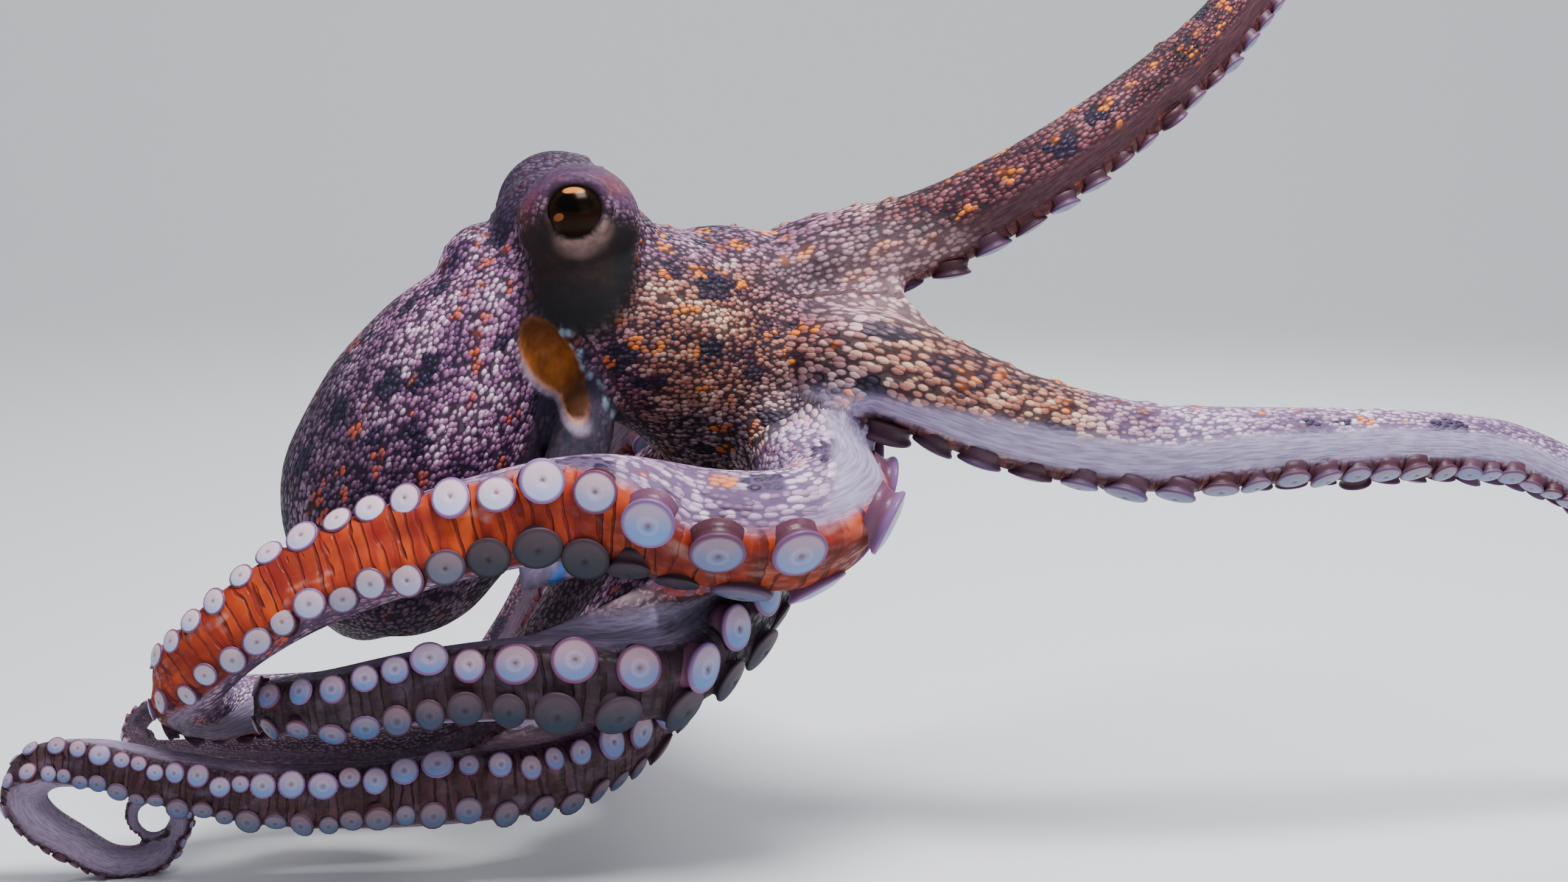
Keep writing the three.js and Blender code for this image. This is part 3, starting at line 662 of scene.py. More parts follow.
def nearest_on_arms(points):
    """For each point: the nearest arm's number, the distance along it and its frame."""
    lines = [arm["at"] for arm in arms.values()]
    starts = np.cumsum([0] + [len(line) for line in lines])
    every = np.concatenate(lines).astype(np.float32)
    thick = np.concatenate([arm["radius"] for arm in arms.values()]).astype(np.float32)
    square = np.sum(every * every, axis=1)
    best = np.zeros(len(points), np.int64)
    for start in range(0, len(points), 4096):
        some = points[start:start + 4096].astype(np.float32)
        far = np.sqrt(np.maximum(
            np.sum(some * some, axis=1)[:, None] - 2 * some @ every.T + square, 0))
        best[start:start + 4096] = np.argmin(far - thick, axis=1)
    which = np.searchsorted(starts, best, side="right") - 1
    join = {key: np.concatenate([arm[key] for arm in arms.values()])
            for key in ("s", "at", "along", "oral", "side", "radius", "spread")}
    away = points - join["at"][best]
    ahead = np.clip(np.sum(away * join["along"][best], axis=1), -1, 1)
    return {
        "arm": which, "s": join["s"][best] + ahead,
        "spread": join["spread"][best] + ahead / join["radius"][best],
        "down": np.sum(away * join["oral"][best], axis=1),
        "sideways": np.sum(away * join["side"][best], axis=1),
        "radius": join["radius"][best], "oral": join["oral"][best],
    }


def store(thing, name, values):
    """Keeps a value, or three, for each point of a mesh under a name."""
    kind = "FLOAT" if np.ndim(values) == 1 else "FLOAT_VECTOR"
    layer = thing.data.attributes.new(name, kind, "POINT")
    layer.data.foreach_set("value" if kind == "FLOAT" else "vector",
                           np.asarray(values, np.float32).ravel())


def inside(points, middle, half, soft=0.25):
    """1 well inside an egg-shaped region, fading to 0 across its edge."""
    reach = np.linalg.norm((points - np.array(middle)) / np.array(half, float), axis=1)
    return 1 - ease(1 - soft, 1 + soft, reach)


def region(points, name):
    """1 inside one of the skin's named regions."""
    return inside(points, *REGIONS[name])


for arm in arms.values():
    arm["spread"] = np.concatenate([[0], np.cumsum(np.diff(arm["s"]) / arm["radius"][1:])])


def crown_region(points):
    """1 where the arms' roots and the head run together."""
    return region(points, "crown") * ease(-50, -38, points[:, 0])


def head_region(points):
    """1 round the eyes, the funnel and the mouth."""
    fine = np.maximum(region(points, "round the eyes"), region(points, "round the funnel"))
    return np.maximum(fine, inside(points, mouth, (14, 16, 16), 0.3))


skin = raw_skin()
skin_tree = BVHTree.FromObject(skin, bpy.context.evaluated_depsgraph_get())
mouth_faces = unit(MOUTH["faces"])
hit = skin_tree.ray_cast(Vector(placed(MOUTH["behind"])), Vector(mouth_faces))[0]
mouth = np.array(hit) / METRE - shift
fill_creases(skin, crown_region, CREASE_REACH)
skin.data.polygons.foreach_set("use_smooth", [True] * len(skin.data.polygons))
points, normals = points_of(skin)
crown = region(points, "smoothed crown")
points = smoothed(skin, points, 0.2 + 0.45 * crown + 0.15 * head_region(points), 10)
points[:, 2] = np.maximum(points[:, 2], 0)
move_points(skin, points)
thin_out(skin, head_region, SKIN_FACES)
points, normals = points_of(skin)

near = nearest_on_arms(points)


def of_arms(*names):
    """True for the points nearest to one of these arms."""
    return np.isin(near["arm"], [list(arms).index(name) for name in names])


angle = np.arctan2(near["sideways"], near["down"])
depth = np.hypot(near["sideways"], near["down"]) / near["radius"]
on_arm = (1 - ease(1.3, 1.75, depth)) * ease(28, 55, near["s"])
facing_mouth = np.sum(normals * near["oral"], axis=1)
under = on_arm * (1 - ease(0.85, 1.15, np.abs(angle)))
web_inside = (1 - on_arm) * ease(0.1, 0.5, facing_mouth) * ease(40, 56, near["s"])
web_inside *= np.maximum(ease(-45, -32, points[:, 0]), np.maximum(
    ease(56, 66, points[:, 1]), ease(64, 50, points[:, 2])))

GRAIN_STRETCH = 1.6
MANTLE_AXIS = unit([0.5, -0.09, 0.86])
ARM_GRAIN = 11.0
ARM_STRETCH = 1.6
FOLD_SPACING = 2.1                  # of the folds between suckers, in arm_place

# How each arm's skin differs: how orange it is between the suckers, how pale its
# back, and how far round from the suckers its grains begin, in radians.
ARM_TONES = {
    "right_1": (0.2, 0.0, 1.5), "right_2": (0.15, 0.95, 1.7),
    "right_3": (1.0, 0.85, 0.85), "right_4": (0.03, 0.45, 1.25),
    "left_4": (0.06, 0.3, 1.35), "left_3": (0.1, 0.15, 1.4),
    "left_2": (0.25, 0.25, 1.4), "left_1": (0.3, 0.2, 1.5),
}
# Where along some arms the back turns smooth, and how pale it is at each distance; its low
# values are partly painted shade, as where left_4 lies in the shadow of right_4.
ARM_SLEEK = {"right_3": (290, 340), "right_4": (50, 110), "left_4": (50, 110)}
ARM_PALENESS_AND_SHADE_ALONG = {
    "right_3": ((0, 100, 250, 330), (1.0, 0.9, 0.85, 0.8)),
    "right_4": ((0, 60, 110, 160, 220), (0.75, 0.74, 0.72, 0.5, 0.4)),
    "left_4": ((0, 150, 230, 280, 330), (0.3, 0.12, 0.3, 0.55, 0.42)),
}
# Where along each arm its own colours take over from the crown's, in millimetres.
ARM_COLOUR_START = {"right_1": (50, 130), "right_2": (90, 200), "right_3": (25, 60)}
tones = np.array([ARM_TONES[name] for name in arms])[near["arm"]]

mantle = 1 - ease(-66, -60, points[:, 0] + 0.55 * (points[:, 2] - 170))
along_mantle = points @ MANTLE_AXIS
crown_place = points / np.array([1.45, 1, 1])
mantle_place = points - np.outer(along_mantle * (1 - 1 / GRAIN_STRETCH), MANTLE_AXIS) + 300
store(skin, "body_place", np.where(mantle[:, None] > 0.5, mantle_place, crown_place))
store(skin, "arm_place", np.column_stack([
    near["spread"] * ARM_GRAIN / ARM_STRETCH,
    near["down"] / near["radius"] * ARM_GRAIN,
    near["sideways"] / near["radius"] * ARM_GRAIN + 60 * near["arm"]]))
store(skin, "on_arm", on_arm)
store(skin, "under", np.maximum(under, web_inside))
store(skin, "flush", tones[:, 0])
pale = tones[:, 1].copy()
for name, (places, values) in ARM_PALENESS_AND_SHADE_ALONG.items():
    chosen = of_arms(name)
    pale[chosen] = np.interp(near["s"][chosen], places, values)
hooked, shaded_far_arm = of_arms("right_3"), of_arms("left_3") * on_arm
# painted shade: the hooked arm's back drawn darker where it faces down
pale[hooked] *= 1 - 0.5 * ease(0.1, -0.6, normals[hooked, 2])
store(skin, "pale", pale * on_arm)
starts = np.array([ARM_COLOUR_START.get(name, (40, 90)) for name in arms])[near["arm"]]
store(skin, "arm_colours", on_arm * ease(starts[:, 0], starts[:, 1], near["s"]))
sleek_from = np.array([ARM_SLEEK.get(name, (1e4, 1e5)) for name in arms])[near["arm"]]
sleek = on_arm * ease(sleek_from[:, 0], sleek_from[:, 1], near["s"])
sleek += on_arm * hooked * ease(110, 75, near["s"])
# fewer orange spots on the far arm, as part of its painted shade
store(skin, "spotted", 1 - 0.9 * sleek - 0.7 * shaded_far_arm)
grain_start = tones[:, 2] + 1.5 * sleek
grain_start = grain_start - 0.5 * (1 - ease(60, 120, near["s"]))
side_of_arm = on_arm * (1 - ease(grain_start, grain_start + 0.35, np.abs(angle)))
store(skin, "side_of_arm", side_of_arm * (1 - under))
store(skin, "bright", ease(-150, -104, points[:, 0] + 0.25 * (points[:, 2] - 150))
      * ease(40, 120, points[:, 2] + 0.3 * points[:, 0] + 60))
store(skin, "mauve", np.maximum(ease(182, 198, points[:, 2]) * ease(60, 0, points[:, 0]),
                                0.8 * region(points, "mauve web")))
store(skin, "cream", np.maximum(region(points, "cream crown"),
                                region(points, "cream under the crown")))
store(skin, "warm", ease(-75, -35, points[:, 0] + 0.2 * (points[:, 2] - 170)))


# The colours laid over the grains, each with its strength.
TINTS = {
    "web border": ((0.95, 0.68, 0.72), 0.85),
    "papilla on an arm": ((0.86, 0.20, 0.03), 0.9),
    "papilla on the body": ((0.62, 0.13, 0.05), 0.75),
    "pale web": ((0.88, 0.58, 0.62), 0.6),
    "rosy web": ((0.80, 0.50, 0.56), 0.62),
    "painted shade in the hollow below": ((0.022, 0.015, 0.030), 0.85),
    "painted shade under the hooked arm": ((0.045, 0.014, 0.014), 0.6),
    "mantle's belly": ((0.36, 0.27, 0.33), 0.55),
    "painted shade on the far arm": ((0.032, 0.018, 0.040), 0.7),
    "mouth's side": ((0.24, 0.11, 0.135), 0.92),
    "mouth's folds": ((0.09, 0.030, 0.040), 0.6),
    "lips": ((0.62, 0.40, 0.40), 0.85),
    "throat": ((0.05, 0.012, 0.014), 0.95),
    "painted shadow behind the crown": ((0.012, 0.008, 0.010), 0.25),
    "dome": ((0.036, 0.018, 0.052), 0.92),
    "brow": ((0.058, 0.025, 0.064), 0.92),
    "cheek": ((0.014, 0.006, 0.005), 0.99),
    "cheek's edge": ((0.004, 0.004, 0.006), 0.95),
    "brow's blush": ((0.20, 0.028, 0.026), 0.42),
    "socket": ((0.006, 0.003, 0.004), 0.97),
    "lower lid": ((0.31, 0.19, 0.165), 0.7),
    "funnel": ((0.034, 0.029, 0.050), 0.94),
    "funnel's back": ((0.42, 0.34, 0.52), 0.85),
    "funnel's front": ((0.52, 0.36, 0.42), 0.85),
    "funnel's blue line": ((0.06, 0.20, 0.62), 0.85),
    "gape": ((0.34, 0.105, 0.012), 0.96),
    "painted shade in the gape": ((0.060, 0.020, 0.008), 0.85),
    "gape's lip": ((0.40, 0.31, 0.42), 0.92),
    "gape's inner edge": ((0.80, 0.30, 0.09), 0.7),
    "flecks": ((0.30, 0.42, 0.52), 0.8),
}


class Paint:
    """Tints laid one over another on a mesh's points."""

    def __init__(self, count):
        self.colour, self.cover = np.zeros((count, 3)), np.zeros(count)

    def lay(self, mask, tint):
        """Lays a tint where the mask is 1."""
        colour, strength = TINTS[tint]
        share = mask * strength
        total = share + self.cover * (1 - share)
        mixed = (np.outer(share, colour)
                 + self.colour * (self.cover * (1 - share))[:, None])
        self.colour = mixed / np.maximum(total, 1e-6)[:, None]
        self.cover = total

    def keep(self, thing, name):
        """Stores the colours on the mesh."""
        layer = thing.data.color_attributes.new(name, "FLOAT_COLOR", "POINT")
        values = np.column_stack([self.colour, self.cover]).astype(np.float32)
        layer.data.foreach_set("color", values.ravel())


def gape_reach(points, middle):
    """Distance from the middle of a gape, as a share of its size."""
    away = points - np.array(middle)
    turn = np.array(Vector((0, 0, 1)).rotation_difference(Vector(GAPES["along"])).to_matrix())
    return np.linalg.norm((away @ turn) / np.array(GAPES["half"]), axis=1)


paint = Paint(len(points))


def raise_bumps(points, normals, share, count, seed, sizes, tint):
    """Raises round bumps where the share is high, and lays their tint on them."""
    chance = np.random.default_rng(seed)
    for centre in chance.choice(len(points), count, replace=False, p=share / share.sum()):
        reach, height = sizes * chance.uniform(0.75, 1.25, 2)
        far = np.linalg.norm(points - points[centre], axis=1)
        close = np.flatnonzero(far < 2.6 * reach)
        facing = np.clip(normals[close] @ normals[centre], 0, 1)
        rise = np.exp(-((far[close] / reach) ** 2)) * facing
        points[close] += normals[close] * (height * rise)[:, None]
        mask = np.zeros(len(points))
        mask[close] = ease(0.25, 0.6, rise)
        paint.lay(mask, tint)


border = np.full(len(points), 1e3)
for edge in web_edges:
    near_edge = np.flatnonzero(inside(points, edge.mean(axis=0), [90] * 3, 0.01) > 0)
    gaps = np.linalg.norm(points[near_edge][:, None] - edge[None, ::2], axis=2)
    border[near_edge] = np.minimum(border[near_edge], gaps.min(axis=1))
wide = WEB_BORDER * (1 + 0.8 * ease(160, 175, points[:, 2]))
border = (1 - ease(0.3 * wide, wide, border)) * (1 - on_arm) * (1 - under)
paint.lay(border, "web border")
upper_side = ease(-0.1, 0.5, normals[:, 2]) * (1 - under) * (1 - web_inside)
right_arms = of_arms("right_1", "right_2") * on_arm * ease(1.9, 2.5, np.abs(angle))
raise_bumps(points, normals, right_arms * (near["s"] < 220) + 1e-9, 46, 1,
            np.array([1.5, 0.9]), "papilla on an arm")
raise_bumps(points, normals, (1 - on_arm) * upper_side + 1e-9, 60, 2,
            np.array([1.7, 0.8]), "papilla on the body")
move_points(skin, points)
paint.lay(region(points, "pale web") * (1 - under), "pale web")
paint.lay(region(points, "rosy web"), "rosy web")
smooth = 0.8 * border
# painted shade in the hollow under the crown, between the arms' roots
paint.lay(region(points, "painted shade in the hollow below") * (near["s"] < 110), "painted shade in the hollow below")
# painted shade on the hooked arm's underside where it faces down
paint.lay(under * hooked * ease(0.05, -0.5, normals[:, 2]), "painted shade under the hooked arm")
paint.lay(mantle * (1 - on_arm) * ease(-0.35, -0.8, normals[:, 2]), "mantle's belly")
# painted shade over the far arm, which lies in the shade of the others
paint.lay(shaded_far_arm * (1 - under), "painted shade on the far arm")

# the side that faces the mouth, its folds, the lips and the hollow in them
away = points - mouth
level = away @ mouth_faces
out_from = away - np.outer(level, mouth_faces)
reach = np.linalg.norm(out_from, axis=1)
aside = unit(np.cross(mouth_faces, [0, 0, 1]))
turn = np.arctan2(out_from @ np.cross(aside, mouth_faces), out_from @ aside)
left_side = of_arms("left_3", "left_2", "left_1")
oral_face = (ease(0.1, 0.5, normals @ mouth_faces) * (1 - ease(48, 66, reach - 45 * left_side))
             * (1 - on_arm * np.where(left_side, ease(1.2, 1.6, np.abs(angle)), 1))
             * (1 - under * left_side) * (np.abs(level) < 45 + 30 * left_side))
paint.lay(oral_face, "mouth's side")
rays = 0.5 + 0.5 * np.sin(26 * turn + 3 * np.sin(reach / 5 + 2 * turn))
paint.lay(oral_face * ease(0.55, 0.95, rays) * ease(9, 14, reach), "mouth's folds")
smooth = np.maximum(smooth, 0.85 * oral_face)
lips = oral_face * np.exp(-(((reach - 6.2) / 2.2) ** 2))
frill = 0.75 + 0.25 * np.sin(20 * turn)
throat = oral_face * (1 - ease(3.0, 4.6, reach))
points += mouth_faces * (2.2 * lips * frill - 2.5 * throat)[:, None]
paint.lay(lips, "lips")
paint.lay(throat, "throat")
move_points(skin, points)
# painted shadow on the crown beside the cheek
paint.lay(region(points, "painted shadow behind the crown"), "painted shadow behind the crown")
dome = region(points, "dome")
paint.lay(dome, "dome")
for eye in EYES.values():
    middle, out, up, fore = eye_frame(eye)
    away = points - middle
    x, y, z = away @ fore, away @ up, away @ out
    reach = np.hypot(x, y)
    outer = ease(-16, -6, z)
    local = np.column_stack([x, y, z])
    cheek = (outer * (1 - ease(18, 22, np.abs(x + 0.08 * y))) * ease(3, -6, y)
             * ease(-60, -42, y))
    brow = outer * (1 - ease(18, 23, reach)) * ease(-4, 5, y)
    paint.lay(brow, "brow")
    paint.lay(cheek, "cheek")
    paint.lay(cheek * np.maximum(ease(-16, -30, y), ease(8, 15, x)), "cheek's edge")
    for spot_x, spot_y, half in ((-13.5, 2, 7), (10, 9, 6)):
        paint.lay(outer * inside(local, (spot_x, spot_y, -4), (half, half * 0.7, 10), 0.8),
                  "brow's blush")
    crescent = ((1 - ease(12.0, 16.5, reach + 0.1 * np.abs(x - 3)))
                * ease(-1, -6, y) * outer * (1 - ease(5, 12, np.abs(x - 3))))
    far = np.linalg.norm(away, axis=1)
    # painted shade in the socket round the eye, darkest next to the eyeball
    socket = 1 - ease(10.9, 12.3, far + 0.04 * np.abs(y))
    paint.lay(socket, "socket")
    paint.lay(crescent * ease(10.9, 11.6, far), "lower lid")
    smooth = np.maximum(smooth, np.maximum(cheek, np.maximum(brow * 0.9, socket)))
smooth = np.maximum(smooth, 0.35 * dome)

funnel_line = curve_through(np.array(FUNNEL)[:, :3], np.linspace(0, 1, 60))
funnel_mask = np.zeros(len(points))
close = region(points, "along the funnel") > 0
to_funnel = np.min(np.linalg.norm(points[close][:, None] - funnel_line[None], axis=2), axis=1)
funnel_mask[close] = 1 - ease(15.5, 18.5, to_funnel)
fleck_line = -70 + 15 / 28 * (173 - np.maximum(points[:, 2], 118))
funnel_mask *= ease(168, 160, points[:, 2]) * ease(fleck_line + 4, fleck_line, points[:, 0])
paint.lay(funnel_mask, "funnel")
opening = funnel_mask * ease(108, 100, points[:, 2])
stripe = points[:, 0] + 69.4 - (points[:, 2] - 98.8) * 0.58
paint.lay(opening * ease(-1, -4, stripe), "funnel's back")
paint.lay(opening * ease(1, 4, stripe), "funnel's front")
paint.lay(opening * (1 - ease(1.2, 2.6, np.abs(stripe))), "funnel's blue line")
for middle in GAPE_MIDDLES:
    reach = gape_reach(points, middle)
    deep = 1 - ease(1.02, 1.12, reach)
    lip = ease(0.99, 1.05, reach) * (1 - ease(1.18, 1.32, reach)) * ease(
        middle[0] + 4, middle[0] - 2, points[:, 0] + 0.5 * (points[:, 2] - middle[2]))
    away = points - np.array(middle)
    lip *= ease(10, -2, away[:, 2])
    paint.lay(deep, "gape")
    # painted shade over the upper, inner part of the gape
    inner = np.maximum(ease(3, 16, away[:, 2]), ease(1, 9, away[:, 0] - 0.45 * away[:, 2]))
    paint.lay(deep * inner, "painted shade in the gape")
    paint.lay(lip, "gape's lip")
    paint.lay(lip * (1 - ease(1.04, 1.12, reach)), "gape's inner edge")
    smooth = np.maximum(smooth, np.maximum(deep, lip))
smooth = np.maximum(smooth, funnel_mask)
fleck_chance = np.random.default_rng(5)
for share in np.linspace(0, 1, 12):
    fleck = np.array([-70 + 15 * share, 173 - 28 * share]) + fleck_chance.normal(0, 0.9, 2)
    size = fleck_chance.uniform(0.9, 2.0)
    far = np.hypot(points[:, 0] - fleck[0], (points[:, 2] - fleck[1]) / 1.5)
    paint.lay((1 - ease(size * 0.3, size, far)) * (points[:, 1] < -15), "flecks")
store(skin, "smooth", smooth)
paint.keep(skin, "tint")

# ------------------------------------------------------------------ eyes

eyes = {}
for side, eye in EYES.items():
    eyes[side] = ball("eyeball_" + side, [EYE_RADIUS] * 3, eye["middle"])
    bpy.ops.object.shade_smooth()
    middle, out, up, fore = eye_frame(eye)
    away = points_of(eyes[side])[0] - middle
    store(eyes[side], "gaze", np.column_stack([away @ fore, away @ up, away @ out])
          / EYE_RADIUS)

# ------------------------------------------------------------------ suckers

# Outline of a sucker from its buried foot to the middle of its disc: radius, height,
# and its place on the disc (1 at the rim, more on the wall, less inside).
SUCKER_OUTLINE = [
    (1.04, -0.62, 2.0), (0.90, -0.34, 1.8), (0.85, -0.18, 1.5), (0.91, -0.05, 1.25),
    (0.99, 0.03, 1.1), (1.01, 0.10, 1.0), (0.97, 0.16, 0.95), (0.90, 0.165, 0.85),
    (0.64, 0.24, 0.6), (0.34, 0.285, 0.3), (0.13, 0.275, 0.16), (0.07, 0.22, 0.08),
]
SUCKER_DETAIL = {
    "large": (26, range(12)),
    "middle": (16, (0, 2, 4, 5, 7, 9, 11)),
    "small": (10, (0, 2, 5, 8)),
}


def sucker_model(sides, chosen):
    """One sucker of radius 1 on the Z axis, extruded from a disc ring by ring."""
    outline = [SUCKER_OUTLINE[i] for i in chosen]
    radius, height, _ = outline[0]
    bpy.ops.mesh.primitive_circle_add(vertices=sides, radius=radius, fill_type="NGON",
                                      location=(0, 0, 0))
    thing = bpy.context.object
    bpy.ops.object.mode_set(mode="EDIT")
    bpy.ops.mesh.select_all(action="SELECT")
    bpy.ops.transform.translate(value=(0, 0, height))
    for next_radius, next_height, _ in outline[1:]:
        bpy.ops.mesh.extrude_region_move(
            TRANSFORM_OT_translate={"value": (0, 0, next_height - height)})
        ratio = next_radius / radius
        bpy.ops.transform.resize(value=(ratio, ratio, 1))
        radius, height = next_radius, next_height
    bpy.ops.mesh.poke()
    bpy.ops.object.mode_set(mode="OBJECT")
    co = np.array([v.co for v in thing.data.vertices])
    reach = np.hypot(co[:, 0], co[:, 1])
    heights = np.array([row[1] for row in outline])
    radii = np.array([row[0] for row in outline])
    places = np.array([row[2] for row in outline] + [0.0])
    order = [int(np.argmin((radii - r) ** 2 + (heights - z) ** 2)) if r > 1e-4 else -1
             for r, z in zip(reach, co[:, 2])]
    faces = [tuple(f.vertices) for f in thing.data.polygons]
    bpy.data.objects.remove(thing)
    return co, faces, places[order]


sucker_models = {key: sucker_model(*detail) for key, detail in SUCKER_DETAIL.items()}
# Radians from the middle of the underside, at distances along an arm.
SUCKER_LATERAL = {"right_3": ((190, 225, 260, 285), (0.6, 0.82, 0.82, 0.65))}
USUAL_LATERAL = ((0,), (0.6,))
SUCKER_SPLAY = 0.36                 # how far the discs turn outwards
SMALLEST_SUCKER = 0.42
FIRST_SUCKER = {1: 20.0, -1: 26.0}  # where each row starts along an arm
SUCKER_SPACING = 1.03               # between neighbours, in the sum of their radii
MOST_LIFT = 0.24                    # of a disc out of uneven skin, in its radii
RIM_SINK = 0.04                     # how deep its rim may lie in the skin
RIM_PLACES = 12
DETAIL_SIZES = (("large", 5.2), ("middle", 2), ("small", 0))
SMALLEST_SHARE = {"left_4": 0.68, "right_3": 0.88}
# Disc radius over arm radius at distances along an arm, largest a little way out.
SUCKER_SHARES = {
    "right_1": ((40, 86, 130), (0.47, 0.52, 0.46)),
    "right_2": ((40, 86, 130), (0.47, 0.5, 0.46)),
    "right_3": ((60, 80, 125, 180, 235, 285), (0.55, 0.55, 0.5, 0.44, 0.38, 0.33)),
    "right_4": ((60, 120, 140, 160, 190), (0.5, 0.55, 0.56, 0.48, 0.43)),
    "left_4": ((60, 86, 130), (0.5, 0.52, 0.42)),
}
USUAL_SHARES = ((40, 86, 130), (0.49, 0.6, 0.46))
# Painted shade on the lower and the upper row at distances along an arm: how much darker each
# is drawn, for the shade that falls on them.
SUCKER_PAINTED_SHADE = {
    "right_1": ((0, 465), (0.64, 0.2), (0.64, 0.2)),
    "right_2": ((0, 535), (0.73, 0.2), (0.73, 0.2)),
    "right_3": ((100, 120, 205, 220, 240, 300), (0, 0.95, 0.95, 0.25, 0.5, 0.35), (0,) * 6),
    "right_4": ((0, 170, 205, 400), (0.95, 0.92, 0.5, 0.3), (0, 0.05, 0.1, 0.1)),
    "left_4": ((0, 240, 400), (0.8, 0.7, 0.3), (0.3, 0.2, 0.1)),
}
USUAL_PAINTED_SHADE = ((0,), (0.1,), (0.1,))
# How milky the discs are at distances along an arm.
SUCKER_MILK = {"right_3": ((140, 185), (0.1, 1)), "right_4": ((0,), (0,)),
               "left_4": ((0, 300), (0, 0.15))}
USUAL_MILK = ((0,), (0.4,))


skin_tree = BVHTree.FromObject(skin, bpy.context.evaluated_depsgraph_get())


def seat_on_skin(at, way, radius, size):
    """Where the skin lies out from an arm's middle line, or None under a web."""
    start, way_vector = Vector(placed(at)), Vector(way)
    hit = skin_tree.ray_cast(start, way_vector, 2.2 * radius * METRE)
    if hit[0] is None or hit[3] > 1.45 * radius * METRE:
        return None
    beyond = skin_tree.ray_cast(hit[0] + way_vector * 0.0005, way_vector, size * METRE)
    if beyond[0] is not None:
        return None
    return np.array(hit[0]) / METRE - shift


def skin_under_rim(seat, fore, across, out, size):
    """The skin's highest place under a disc's rim, in the disc's radii from its seat."""
    highest = -1.0
    for turn in np.linspace(0, 2 * math.pi, RIM_PLACES, endpoint=False):
        rim = seat + size * (math.cos(turn) * fore + math.sin(turn) * across + out)
        hit = skin_tree.ray_cast(Vector(placed(rim)), Vector(-out), 1.8 * size * METRE)
        if hit[0] is not None:
            highest = max(highest, 1 - hit[3] / (size * METRE))
    return highest


def arm_suckers(name, arm, seed):
    """All suckers of one arm as one mesh, in two rows that take turns."""
    chance = np.random.default_rng(seed)
    points, faces = [], []
    kept = {"disc": [], "shade": [], "low": [], "painted_shade": [], "milk": []}
    count = 0
    for row in (1, -1):
        s = FIRST_SUCKER[row]
        share = 1.0
        while s < arm["total"] - 1:
            at, along, oral, side, radius = (v[0] for v in station(arm, [s]))
            full = radius * float(np.interp(s, *SUCKER_SHARES.get(name, USUAL_SHARES)))
            size = full * share
            share = chance.uniform(SMALLEST_SHARE.get(name, 0.86), 1.07)
            if size < SMALLEST_SUCKER:
                break
            lateral = row * (np.interp(s, *SUCKER_LATERAL.get(name, USUAL_LATERAL))
                             + chance.normal(0, 0.07))
            way = oral * math.cos(lateral) + side * math.sin(lateral)
            seat = seat_on_skin(at, way, radius, size)
            step = SUCKER_SPACING * (size + full * share) * chance.uniform(0.97, 1.06)
            if seat is None:
                s += step
                continue
            splay = row * SUCKER_SPLAY + chance.normal(0, 0.09)
            out = unit(oral * math.cos(splay) + side * math.sin(splay)
                       + along * chance.normal(0, 0.1))
            across = unit(np.cross(out, along))
            fore = np.cross(across, out)
            detail = next(key for key, least in DETAIL_SIZES if size > least)
            co, model_faces, places = sucker_models[detail]
            lift = chance.normal(-0.03, 0.04)
            clear = skin_under_rim(seat, fore, across, out, size) - RIM_SINK
            lift = max(lift, min(clear, MOST_LIFT))
            long = chance.uniform(0.94, 1.06)
            world = seat + size * (co[:, :1] * long * fore + co[:, 1:2] / long * across
                                   + (co[:, 2:] + lift) * out)
            shade_places, lower_row_shade, upper_row_shade = SUCKER_PAINTED_SHADE.get(name, USUAL_PAINTED_SHADE)
            # painted shade: suckers below the arm's middle line take the lower row's amount
            lower = float(ease(0.05, 0.45, (at[2] - seat[2]) / radius))
            painted_shade = (lower * np.interp(s, shade_places, lower_row_shade)
                   + (1 - lower) * np.interp(s, shade_places, upper_row_shade))
            milk = np.interp(s, *SUCKER_MILK.get(name, USUAL_MILK))
            # how far down each point lies on its disc, which drives the painted light and
            # shade on the discs
            kept["low"].append((seat[2] - world[:, 2]) / size)
            world[:, 2] = np.maximum(world[:, 2], 0.15)
            points.append(world)
            faces += [tuple(count + i for i in face) for face in model_faces]
            kept["disc"].append(places)
            for key, value in (("shade", chance.random()), ("painted_shade", painted_shade), ("milk", milk)):
                kept[key].append(np.full(len(places), value))
            count += len(places)
            s += step
    thing = new_mesh("suckers_" + name, placed(np.vstack(points)), faces)
    for key, values in kept.items():
        store(thing, key, np.concatenate(values))
    return thing


suckers = [arm_suckers(name, arm, seed) for seed, (name, arm) in enumerate(arms.items())]

# ------------------------------------------------------------------ finishes


def plain(name, color, rough):
    """A finish of one colour, for what isn't part of the animal."""
    made = bpy.data.materials.new(name)
    made.use_nodes = True
    shader = made.node_tree.nodes["Principled BSDF"]
    shader.inputs["Base Color"].default_value = (*color, 1)
    shader.inputs["Roughness"].default_value = rough
    return made


